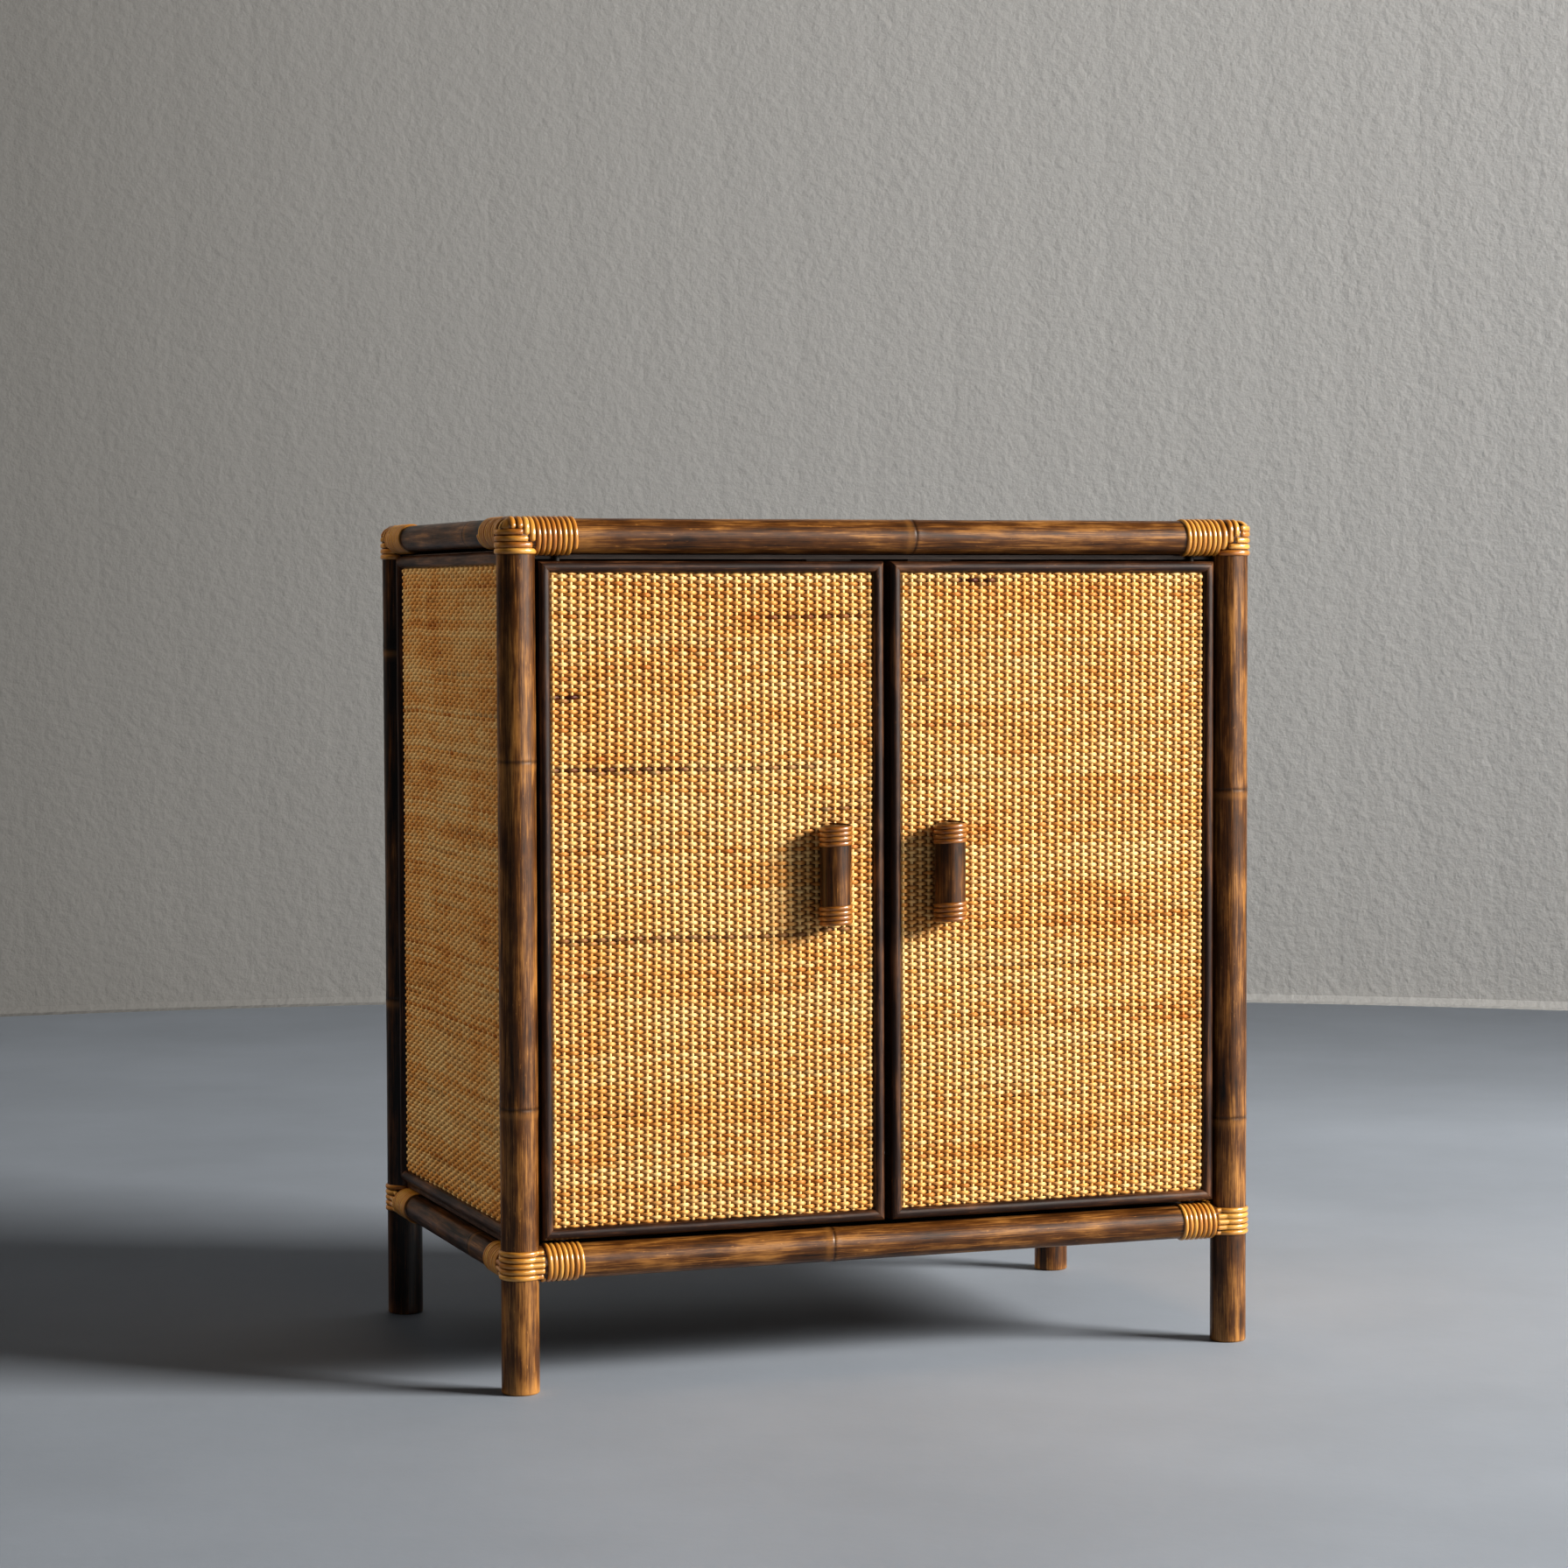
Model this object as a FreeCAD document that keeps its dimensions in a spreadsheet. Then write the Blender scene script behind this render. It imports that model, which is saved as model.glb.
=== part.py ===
import FreeCAD, Part
import Sketcher
import os

# Storage side table: a rattan pole frame, lashed with cane at its corners, with two woven doors.
# Millimetres, +Z up. The origin is on the floor, at the middle of the whole table's outline.
# The front, with the doors, faces -Y.

# ------------------------------------------------------------------ driving dimensions

SIZES = {
    # frame poles
    "height": "720",                # floor to the top of the top rails
    "post_spacing_wide": "646.5",   # post axis to post axis, left to right
    "post_spacing_deep": "386.3",   # post axis to post axis, front to back
    "post_radius": "15.75",
    "post_head_drop": "2",          # the posts end this far under the top of the rails
    "front_rail_radius": "14.4",    # front and back rails
    "side_rail_radius": "11.6",
    "side_rail_offset": "3",        # the side rails lie this far outside the post axes
    "front_rail_low": "107.1",      # axis height of the bottom front and back rails
    "side_rail_low": "104.3",       # axis height of the bottom side rails
    "joint_gap": "0.15",            # fit of a coped rail, or of a lashing, on its pole
    "seat_gap": "0.3",              # clearance of a board or panel from what carries it
    # cane lashings
    "cane_thickness": "2.2",
    "cane_width": "4.9",            # one turn
    "front_turns": "7",
    "side_turns": "9",
    "band_turns": "5",
    "cap_drop": "30.7",             # the cap over a top corner reaches this far below the rail top
    # boards
    "board_thickness": "9",         # top, floor and shelf
    "side_board_thickness": "6",
    "back_board_thickness": "6",
    "mat_thickness": "2",           # woven rattan mat
    "shelf_height": "400",
    "cleat_width": "14",
    "cleat_height": "12",
    "batten_depth": "20",
    "batten_gap": "1.7",            # between the doors and the batten over them
    # side panels and top panel
    "side_face_offset": "4.2",      # the side mats lie this far outside the post axes
    "side_trim_radius": "5.5",
    "side_reveal_low": "8.6",       # bottom side rail to the trim over it
    "side_reveal_top": "3.7",       # top side rail to the trim under it
    "top_trim_radius": "5",
    # doors
    "door_face_offset": "3.8",      # the door mats lie this far in front of the post axes
    "door_board_thickness": "12",
    "door_trim_radius": "4.95",
    "door_gap_side": "2",           # post to door
    "door_gap_middle": "5.9",       # door to door
    "door_gap_top": "3.75",         # lashing to door
    # pivots
    "pivot_inset": "18",            # from the outer edge of the door
    "pivot_depth": "7",             # behind the face of the mat
    "pin_radius": "2.5",
    "pin_seat": "14",               # length of a pin inside its rail
    "running_gap": "0.06",          # between a pin and its bush
    "bush_wall": "1.5",
    "bush_length": "14",
    "pin_end_gap": "1",
    "washer_radius": "5",
    "washer_thickness": "1.2",
    # handles
    "handle_offset": "51.8",        # from the middle of the table to the handle's axis
    "handle_height": "422",         # middle of the handle
    "handle_length": "84",
    "handle_radius": "13.2",
    "handle_wrap_length": "17.2",
    "handle_cane": "1.4",
    # catches
    "catch_offset": "46",           # from the middle of the table
    "catch_length": "40",
    "catch_depth": "11",
    "catch_height": "12",
    "strike_length": "30",
    "strike_height": "12",
    "strike_thickness": "1.5",
}

doc = FreeCAD.newDocument("storage_side_table")
sheet = doc.addObject("Spreadsheet::Sheet", "dims")
for row, (alias, value) in enumerate(SIZES.items(), start=1):
    sheet.set(f"A{row}", value)
    sheet.setAlias(f"A{row}", alias)
doc.recompute()

# ------------------------------------------------------------------ places worked out from them
# Each of these is an expression over the sheet, so a piece follows the sizes it is made from.

CANE = "(dims.joint_gap + dims.cane_thickness)"
FRONT_LASH = f"(dims.front_rail_radius + {CANE})"
SIDE_LASH = f"(dims.side_rail_radius + {CANE})"
POST_LASH = f"(dims.post_radius + {CANE})"
LASH_START = f"({POST_LASH} + dims.joint_gap)"
FRONT_LASH_LENGTH = f"(dims.post_radius + dims.front_turns * dims.cane_width - {LASH_START})"
SIDE_LASH_LENGTH = f"(dims.post_radius + dims.side_turns * dims.cane_width - {LASH_START})"
BAND_HEIGHT = "(dims.band_turns * dims.cane_width)"
POST_HEAD = "(dims.height - dims.post_head_drop)"
HANDLE_WRAP = "(dims.handle_radius + dims.joint_gap + dims.handle_cane)"

FRONT_REACH = f"(dims.door_face_offset + dims.seat_gap + 2 * {HANDLE_WRAP})"
SHIFT = f"(({FRONT_REACH} - {POST_LASH}) / 2)"
HALF_WIDE = "(dims.post_spacing_wide / 2)"
HALF_DEEP = "(dims.post_spacing_deep / 2)"
AXIS_Y = {"front": f"({SHIFT} - {HALF_DEEP})", "back": f"({SHIFT} + {HALF_DEEP})"}
AXIS_X = {"left": f"(-{HALF_WIDE})", "right": f"({HALF_WIDE})"}
INWARD = {"left": "1", "right": "-1", "front": "1", "back": "-1"}
SIDE_RAIL_X = {"left": f"({AXIS_X['left']} - dims.side_rail_offset)",
               "right": f"({AXIS_X['right']} + dims.side_rail_offset)"}

FRONT_RAIL_Z = {"top": "(dims.height - dims.front_rail_radius)", "bottom": "dims.front_rail_low"}
SIDE_RAIL_Z = {"top": "(dims.height - dims.side_rail_radius)", "bottom": "dims.side_rail_low"}

DOOR_FACE = f"({AXIS_Y['front']} - dims.door_face_offset)"
DOOR_FRONT = f"({DOOR_FACE} + dims.mat_thickness)"
DOOR_BACK = f"({DOOR_FRONT} + dims.door_board_thickness)"
DOOR_OUTER = f"({HALF_WIDE} - dims.post_radius - dims.door_gap_side)"
DOOR_INNER = "(dims.door_gap_middle / 2)"
WASHER_Z = f"(dims.front_rail_low + {FRONT_LASH} + dims.seat_gap)"
DOOR_LOW = f"({WASHER_Z} + dims.washer_thickness + dims.seat_gap)"
DOOR_HIGH = f"({FRONT_RAIL_Z['top']} - {FRONT_LASH} - dims.door_gap_top)"

PIVOT_X = f"({DOOR_OUTER} - dims.pivot_inset)"
PIVOT_Y = f"({DOOR_FACE} + dims.pivot_depth)"
BUSH_BORE = "(dims.pin_radius + dims.running_gap)"
BUSH_RADIUS = f"({BUSH_BORE} + dims.bush_wall)"
PIN_SPAN = {
    "bottom": (f"{FRONT_RAIL_Z['bottom']} + dims.front_rail_radius - dims.pin_seat",
               f"{DOOR_LOW} + dims.bush_length - dims.pin_end_gap"),
    "top": (f"{DOOR_HIGH} - dims.bush_length + dims.pin_end_gap",
            f"{FRONT_RAIL_Z['top']} - dims.front_rail_radius + dims.pin_seat"),
}
DOOR_SWEEP = f"sqrt(dims.pivot_inset ^ 2 + ({DOOR_BACK} - {PIVOT_Y}) ^ 2)"

BATTEN_FRONT = f"({PIVOT_Y} + dims.pin_radius + dims.batten_gap)"
BATTEN_LOW = f"({DOOR_HIGH} + dims.batten_gap)"
BOARD_X = f"({HALF_WIDE} + dims.side_rail_offset - {SIDE_LASH} - dims.seat_gap)"
BOARD_FRONT = f"({AXIS_Y['front']} + {FRONT_LASH} + dims.seat_gap)"
BOARD_BACK = f"({AXIS_Y['back']} - {FRONT_LASH} - dims.seat_gap)"
TOP_BOARD_LOW = f"({FRONT_RAIL_Z['top']} - dims.board_thickness / 2)"
TOP_BOARD_HIGH = f"({TOP_BOARD_LOW} + dims.board_thickness)"
FLOOR_LOW = "(dims.front_rail_low - dims.board_thickness / 2)"

SIDE_FACE = f"({HALF_WIDE} + dims.side_face_offset)"
SIDE_BOARD_OUT = f"({SIDE_FACE} - dims.mat_thickness)"
SIDE_BOARD_IN = f"({SIDE_BOARD_OUT} - dims.side_board_thickness)"
SIDE_Y = {"front": f"({AXIS_Y['front']} + {POST_LASH} + dims.seat_gap)",
          "back": f"({AXIS_Y['back']} - {POST_LASH} - dims.seat_gap)"}
SIDE_TRIM_LOW = "(dims.side_rail_low + dims.side_rail_radius + dims.side_reveal_low)"
SIDE_TRIM_HIGH = "(dims.height - 2 * dims.side_rail_radius - dims.side_reveal_top)"

BACK_BOARD_IN = f"({AXIS_Y['back']} - dims.back_board_thickness / 2)"
SHELF_FRONT = f"({PIVOT_Y} + {DOOR_SWEEP} + dims.batten_gap)"
SHELF_LOW = "(dims.shelf_height - dims.board_thickness)"

HANDLE_Y = f"({DOOR_FACE} - dims.seat_gap - {HANDLE_WRAP})"
CATCH_FRONT = f"({DOOR_BACK} + dims.strike_thickness + dims.seat_gap)"

# ------------------------------------------------------------------ helpers

SIDES = ("left", "right")
ENDS = ("front", "back")
LEVELS = ("top", "bottom")
X, Y, Z = FreeCAD.Vector(1, 0, 0), FreeCAD.Vector(0, 1, 0), FreeCAD.Vector(0, 0, 1)
TURN = {"x": FreeCAD.Rotation(Z, X), "y": FreeCAD.Rotation(Z, Y), "z": FreeCAD.Rotation()}

LASHING_SIDES = 16          # a lashing's rounds are many-sided, because there are so many of them

sub_parts = []


def signed(side, value):
    """A place at the left or right of the middle plane."""
    return f"(-({value}))" if side == "left" else f"({value})"


def place(piece, x, y, z):
    """Bind where a piece's own origin lies."""
    for axis, value in zip("xyz", (x, y, z)):
        piece.setExpression(f"Placement.Base.{axis}", value)
    return piece


def cylinder(name, radius, length, start, along="z"):
    """A round bar from its start point, along a row axis."""
    bar = doc.addObject("Part::Cylinder", name)
    bar.Placement = FreeCAD.Placement(FreeCAD.Vector(), TURN[along])
    bar.setExpression("Radius", radius)
    bar.setExpression("Height", length)
    return place(bar, *start)


def many_sided(name, radius, length, start, along="z"):
    """A many-sided bar, with its corners on the given radius."""
    bar = doc.addObject("Part::Prism", name)
    bar.Placement = FreeCAD.Placement(FreeCAD.Vector(), TURN[along])
    bar.Polygon = LASHING_SIDES
    bar.setExpression("Circumradius", radius)
    bar.setExpression("Height", length)
    return place(bar, *start)


def slab(name, low, high):
    """A flat board between its lowest and highest corners."""
    board = doc.addObject("Part::Box", name)
    for size, start, end in zip(("Length", "Width", "Height"), low, high):
        board.setExpression(size, f"({end}) - ({start})")
    return place(board, *low)


def mirrored_slab(name, side, low, high):
    """A board that is given for the right side, put at the left or right."""
    if side == "right":
        return slab(name, low, high)
    return slab(name, (f"-({high[0]})", low[1], low[2]), (f"-({low[0]})", high[1], high[2]))


def fuse(name, pieces):
    """One solid out of several, or the only piece itself."""
    if len(pieces) == 1:
        return pieces[0]
    joined = doc.addObject("Part::MultiFuse", name)
    joined.Shapes = pieces
    return joined


def cut(name, base, tools):
    """The base with every tool taken out of it."""
    rest = doc.addObject("Part::Cut", name)
    rest.Base = base
    rest.Tool = fuse(f"{name}_tools", tools)
    return rest


def group(name, pieces):
    """Alike solids kept apart in one sub-part."""
    together = doc.addObject("Part::Compound", name)
    together.Links = pieces
    return together


def sub_part(label, piece):
    """Name a finished sub-part. Its label is its file's name."""
    piece.Label = label
    sub_parts.append(piece)
    return piece


def origin_plane(body, role):
    """One of a body's own origin planes."""
    return next(plane for plane in body.Origin.OriginFeatures if plane.Role == role)


def round_bar(name, radius, length):
    """A round bar padded from a circle that is bound to its radius."""
    body = doc.addObject("PartDesign::Body", name)
    section = body.newObject("Sketcher::SketchObject", f"{name}_section")
    section.AttachmentSupport = [(origin_plane(body, "XY_Plane"), "")]
    section.MapMode = "FlatFace"
    section.addGeometry(Part.Circle(FreeCAD.Vector(), Z, 10), False)
    section.addConstraint(Sketcher.Constraint("Coincident", 0, 3, -1, 1))
    section.addConstraint(Sketcher.Constraint("Radius", 0, 10))
    section.setExpression("Constraints[1]", radius)
    pad = body.newObject("PartDesign::Pad", f"{name}_pad")
    pad.Profile = section
    pad.setExpression("Length", length)
    return body


def half_round(name, radius, length):
    """A half-round strip with both ends mitred at 45 degrees.

    It lies along its own x, its outer edge on y = 0 and its flat on z = 0.
    """
    bar = doc.addObject("Part::Cylinder", f"{name}_bar")
    bar.Angle = 180
    bar.Placement = FreeCAD.Placement(FreeCAD.Vector(), FreeCAD.Rotation(Y, Z, X, "ZXY"))
    bar.setExpression("Radius", radius)
    bar.setExpression("Height", length)
    bar.setExpression("Placement.Base.y", radius)
    mitre = doc.addObject("Part::Wedge", f"{name}_mitre")
    width = f"2 * {radius}"
    limits = {"Xmin": "0", "Ymin": "0", "Zmin": "0", "X2min": width, "Z2min": "0",
              "Xmax": length, "Ymax": width, "Zmax": width,
              "X2max": f"{length} - {width}", "Z2max": width}
    for limit, value in limits.items():
        mitre.setExpression(limit, value)
    strip = doc.addObject("Part::Common", name)
    strip.Base = bar
    strip.Tool = mitre
    return strip


def trim_frame(name, corner, across, up, width, height, radius):
    """Four mitred half-round strips round a panel, seen with its face towards the reader.

    corner is the panel's low left corner, across and up are unit vectors along its edges.
    """
    face_normal = across.cross(up)
    along_edges = {"bottom": (across, up, (0, 0), width), "right": (up, -across, (1, 0), height),
                   "top": (-across, -up, (1, 1), width), "left": (-up, across, (0, 1), height)}
    strips = {}
    for edge, (along, inward, (over_width, over_height), length) in along_edges.items():
        strip = half_round(f"{name}_{edge}", radius, length)
        turn = FreeCAD.Rotation(along, inward, face_normal, "XYZ")
        strip.Placement = FreeCAD.Placement(FreeCAD.Vector(), turn)
        place(strip, *(f"{start} + {step_across * over_width} * ({width})"
                       f" + {step_up * over_height} * ({height})"
                       for start, step_across, step_up in zip(corner, across, up)))
        strips[edge] = strip
    return strips


# ------------------------------------------------------------------ frame poles

def make_posts():
    """Four round posts. Their lower ends are the feet."""
    for end in ENDS:
        for side in SIDES:
            name = f"post_{end}_{side}"
            pole = round_bar(name, "dims.post_radius", POST_HEAD)
            sub_part(name, place(pole, AXIS_X[side], AXIS_Y[end], "0"))


def post_cope(name, side, end):
    """The round a rail's end is coped to, so that it sits against its post."""
    return cylinder(name, "dims.post_radius + dims.joint_gap", "dims.height",
                    (AXIS_X[side], AXIS_Y[end], "0"))


def pivot_hole(name, side, level):
    """The bore in a front rail that holds a pivot pin."""
    low, high = PIN_SPAN[level]
    return cylinder(name, "dims.pin_radius", f"({high}) - ({low})",
                    (signed(side, PIVOT_X), PIVOT_Y, low))


def make_front_rails():
    """Front and back rails: coped at both ends, the front ones bored for the pivot pins."""
    for end in ENDS:
        for level in LEVELS:
            name = f"rail_{end}_{level}"
            pole = cylinder(f"{name}_pole", "dims.front_rail_radius", "dims.post_spacing_wide",
                            (AXIS_X["left"], AXIS_Y[end], FRONT_RAIL_Z[level]), "x")
            tools = []
            for side in SIDES:
                tools.append(post_cope(f"{name}_cope_{side}", side, end))
                if end == "front":
                    tools.append(pivot_hole(f"{name}_pivot_{side}", side, level))
            sub_part(name, cut(name, pole, tools))


def make_side_rails():
    """Thinner side rails, coped off centre so that they lie flush with the outside."""
    for side in SIDES:
        for level in LEVELS:
            name = f"rail_{side}_{level}"
            pole = cylinder(f"{name}_pole", "dims.side_rail_radius", "dims.post_spacing_deep",
                            (SIDE_RAIL_X[side], AXIS_Y["front"], SIDE_RAIL_Z[level]), "y")
            copes = [post_cope(f"{name}_cope_{end}", side, end) for end in ENDS]
            sub_part(name, cut(name, pole, copes))


# ------------------------------------------------------------------ cane lashings

def clear_of_round(pole_radius):
    """The radius of a many-sided hollow whose flats clear a round pole."""
    return f"(({pole_radius} + dims.joint_gap) / cos(180 / {LASHING_SIDES}))"


def sleeve(name, outer, pole_radius, length, start, along="z"):
    """Turns of cane round a pole, as one tube."""
    tube = many_sided(f"{name}_tube", outer, length, start, along)
    hollow = many_sided(f"{name}_hollow", clear_of_round(pole_radius), length, start, along)
    return cut(name, tube, [hollow])


def corner_slab(name, side, end, low, high):
    """A box at a corner. Its x and y are measured inwards from the post's axis."""
    spans = []
    for axis, inward, near, far in ((AXIS_X[side], INWARD[side], low[0], high[0]),
                                    (AXIS_Y[end], INWARD[end], low[1], high[1])):
        reach = (f"{axis} + {inward} * ({near})", f"{axis} + {inward} * ({far})")
        spans.append(reach if inward == "1" else reach[::-1])
    return slab(name, (spans[0][0], spans[1][0], low[2]), (spans[0][1], spans[1][1], high[2]))


def front_lashing(name, side, end, level):
    """The turns round a front or back rail, bored where a pivot pin comes through."""
    start = f"{AXIS_X[side]} + {INWARD[side]} * {LASH_START}"
    if side == "right":
        start = f"{start} - {FRONT_LASH_LENGTH}"
    turns = sleeve(f"{name}_front", FRONT_LASH, "dims.front_rail_radius", FRONT_LASH_LENGTH,
                   (start, AXIS_Y[end], FRONT_RAIL_Z[level]), "x")
    if end == "back":
        return turns
    low, high = PIN_SPAN[level]
    bore = cylinder(f"{name}_pivot", "dims.pin_radius + dims.seat_gap", f"({high}) - ({low})",
                    (signed(side, PIVOT_X), PIVOT_Y, low))
    return cut(f"{name}_front_bored", turns, [bore])


def side_lashing(name, side, end, level):
    """The turns round a side rail."""
    start = f"{AXIS_Y[end]} + {INWARD[end]} * {LASH_START}"
    if end == "back":
        start = f"{start} - {SIDE_LASH_LENGTH}"
    return sleeve(f"{name}_side", SIDE_LASH, "dims.side_rail_radius", SIDE_LASH_LENGTH,
                  (SIDE_RAIL_X[side], start, SIDE_RAIL_Z[level]), "y")


def rail_space(name, side, end):
    """The space that the two rails of a corner take out of a ring round its post."""
    beyond = f"(2 * {POST_LASH})"
    past_side = "-(dims.side_rail_offset + dims.side_rail_radius + dims.joint_gap)"
    past_front = "-(dims.front_rail_radius + dims.joint_gap)"
    over_side = corner_slab(f"{name}_beside", side, end, (past_side, "0", "0"),
                            (beyond, beyond, "2 * dims.height"))
    over_front = corner_slab(f"{name}_before", side, end, ("0", past_front, "0"),
                             (beyond, beyond, "2 * dims.height"))
    return [over_side, over_front]


def post_band(name, side, end):
    """The turns round the outside of a post, level with the bottom rails."""
    low = f"(dims.front_rail_low - {BAND_HEIGHT} / 2)"
    ring = sleeve(f"{name}_ring", POST_LASH, "dims.post_radius", BAND_HEIGHT,
                  (AXIS_X[side], AXIS_Y[end], low))
    return cut(f"{name}_band", ring, rail_space(name, side, end))


def post_cap(name, side, end):
    """The turns round a post's upper end, closed over its head."""
    axis = (AXIS_X[side], AXIS_Y[end])
    low = "(dims.height - dims.cap_drop)"
    head = f"({POST_HEAD} + dims.joint_gap)"
    blank = many_sided(f"{name}_blank", POST_LASH, f"({head} + dims.cane_thickness - {low})",
                       (*axis, low))
    hollow = many_sided(f"{name}_hollow", clear_of_round("dims.post_radius"), f"({head} - {low})",
                        (*axis, low))
    around = cut(f"{name}_around", blank, [hollow, *rail_space(name, side, end)])
    lid = many_sided(f"{name}_lid", "(dims.post_radius + dims.joint_gap)", "dims.cane_thickness",
                     (*axis, head))
    return fuse(f"{name}_cap", [around, lid])


def make_lashings():
    """Cane lashings, the four corners of each level together."""
    for level, post_lashing in (("top", post_cap), ("bottom", post_band)):
        pieces = []
        for end in ENDS:
            for side in SIDES:
                name = f"lashing_{level}_{end}_{side}"
                pieces.append(front_lashing(name, side, end, level))
                pieces.append(side_lashing(name, side, end, level))
                pieces.append(post_lashing(name, side, end))
        sub_part(f"lashings_{level}", group(f"all_lashings_{level}", pieces))


# ------------------------------------------------------------------ boards and panels

def make_flat_boards():
    """Top and floor boards between the rails, each at the height of the front rail's axis."""
    for name, low in (("top_board", TOP_BOARD_LOW), ("floor_board", FLOOR_LOW)):
        board = slab(name, (f"-{BOARD_X}", BOARD_FRONT, low),
                     (BOARD_X, BOARD_BACK, f"{low} + dims.board_thickness"))
        sub_part(name, board)
    mat = slab("top_mat", (f"-{BOARD_X}", BOARD_FRONT, TOP_BOARD_HIGH),
               (BOARD_X, BOARD_BACK, f"{TOP_BOARD_HIGH} + dims.mat_thickness"))
    sub_part("top_mat", mat)
    strips = trim_frame("top_strip", (f"-{BOARD_X}", BOARD_FRONT,
                                      f"{TOP_BOARD_HIGH} + dims.mat_thickness"),
                        X, Y, f"2 * {BOARD_X}", f"({BOARD_BACK} - {BOARD_FRONT})",
                        "dims.top_trim_radius")
    sub_part("top_trims", group("top_strips", list(strips.values())))


def make_side_panels():
    """Each side: a thin board, the woven mat on its outside and a mitred half-round frame."""
    lash_clear = f"({SIDE_LASH} + dims.seat_gap)"
    for side in SIDES:
        board = mirrored_slab(f"side_board_{side}", side,
                              (SIDE_BOARD_IN, SIDE_Y["front"], f"{SIDE_RAIL_Z['bottom']} + {lash_clear}"),
                              (SIDE_BOARD_OUT, SIDE_Y["back"], f"{SIDE_RAIL_Z['top']} - {lash_clear}"))
        sub_part(f"side_board_{side}", board)
        mat = mirrored_slab(f"side_mat_{side}", side,
                            (SIDE_BOARD_OUT, SIDE_Y["front"], SIDE_TRIM_LOW),
                            (SIDE_FACE, SIDE_Y["back"], SIDE_TRIM_HIGH))
        sub_part(f"side_mat_{side}", mat)
        across, first = (-Y, "back") if side == "left" else (Y, "front")
        strips = trim_frame(f"side_strip_{side}",
                            (signed(side, SIDE_FACE), SIDE_Y[first], SIDE_TRIM_LOW), across, Z,
                            f"({SIDE_Y['back']} - {SIDE_Y['front']})",
                            f"({SIDE_TRIM_HIGH} - {SIDE_TRIM_LOW})", "dims.side_trim_radius")
        sub_part(f"side_trims_{side}", group(f"side_strips_{side}", list(strips.values())))


def make_back_board():
    """Plain board between the back posts."""
    half = f"({HALF_WIDE} - dims.post_radius - dims.seat_gap)"
    clear = f"({FRONT_LASH} + dims.seat_gap)"
    board = slab("back_board", (f"-{half}", BACK_BOARD_IN, f"{FRONT_RAIL_Z['bottom']} + {clear}"),
                 (half, f"{BACK_BOARD_IN} + dims.back_board_thickness",
                  f"{FRONT_RAIL_Z['top']} - {clear}"))
    sub_part("back_board", board)


def make_shelf():
    """A shelf on two cleats, notched round the back posts and set back from the doors' swing."""
    half = f"({SIDE_BOARD_IN} - dims.seat_gap)"
    board = slab("shelf_blank", (f"-{half}", SHELF_FRONT, SHELF_LOW),
                 (half, f"{BACK_BOARD_IN} - dims.seat_gap", "dims.shelf_height"))
    notches = [cylinder(f"shelf_notch_{side}", "dims.post_radius + dims.seat_gap",
                        "2 * dims.board_thickness",
                        (AXIS_X[side], AXIS_Y["back"], f"{SHELF_LOW} - dims.board_thickness / 2"))
               for side in SIDES]
    sub_part("shelf", cut("shelf", board, notches))
    cleats = [mirrored_slab(f"cleat_{side}", side,
                            (f"{SIDE_BOARD_IN} - dims.cleat_width", SHELF_FRONT,
                             f"{SHELF_LOW} - dims.cleat_height"),
                            (SIDE_BOARD_IN, SIDE_Y["back"], SHELF_LOW)) for side in SIDES]
    sub_part("shelf_cleats", group("cleats", cleats))


def make_battens():
    """Battens under the top board, coped to clear the rails and their lashings."""
    half = f"({HALF_WIDE} - dims.post_radius - dims.seat_gap)"
    set_back = f"({BATTEN_FRONT} - {AXIS_Y['front']})"
    for end in ENDS:
        name = f"batten_{end}"
        near = BATTEN_FRONT if end == "front" else f"{AXIS_Y['back']} - {set_back} - dims.batten_depth"
        blank = slab(f"{name}_blank", (f"-{half}", near, BATTEN_LOW),
                     (half, f"{near} + dims.batten_depth", TOP_BOARD_LOW))
        cope = cylinder(f"{name}_cope", f"{FRONT_LASH} + dims.joint_gap", "dims.post_spacing_wide",
                        (AXIS_X["left"], AXIS_Y[end], FRONT_RAIL_Z["top"]), "x")
        sub_part(name, cut(name, blank, [cope]))


# ------------------------------------------------------------------ doors

def make_pivots():
    """Steel pins held in the front rails, and the washers that the doors turn on."""
    pins = []
    for side in SIDES:
        for level, (low, high) in PIN_SPAN.items():
            pins.append(cylinder(f"pin_{side}_{level}", "dims.pin_radius", f"({high}) - ({low})",
                                 (signed(side, PIVOT_X), PIVOT_Y, low)))
    sub_part("pivot_pins", group("pins", pins))
    washers = []
    for side in SIDES:
        at = (signed(side, PIVOT_X), PIVOT_Y, WASHER_Z)
        disc = cylinder(f"washer_disc_{side}", "dims.washer_radius", "dims.washer_thickness", at)
        hole = cylinder(f"washer_hole_{side}", BUSH_BORE, "dims.washer_thickness", at)
        washers.append(cut(f"washer_{side}", disc, [hole]))
    sub_part("pivot_washers", group("washers", washers))


def bush_bores(name, side, radius):
    """The two round holes on the pivot axis, in the bottom and the top edge of a door."""
    lows = {"bottom": DOOR_LOW, "top": f"{DOOR_HIGH} - dims.bush_length"}
    return [cylinder(f"{name}_{level}", radius, "dims.bush_length",
                     (signed(side, PIVOT_X), PIVOT_Y, low)) for level, low in lows.items()]


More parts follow.
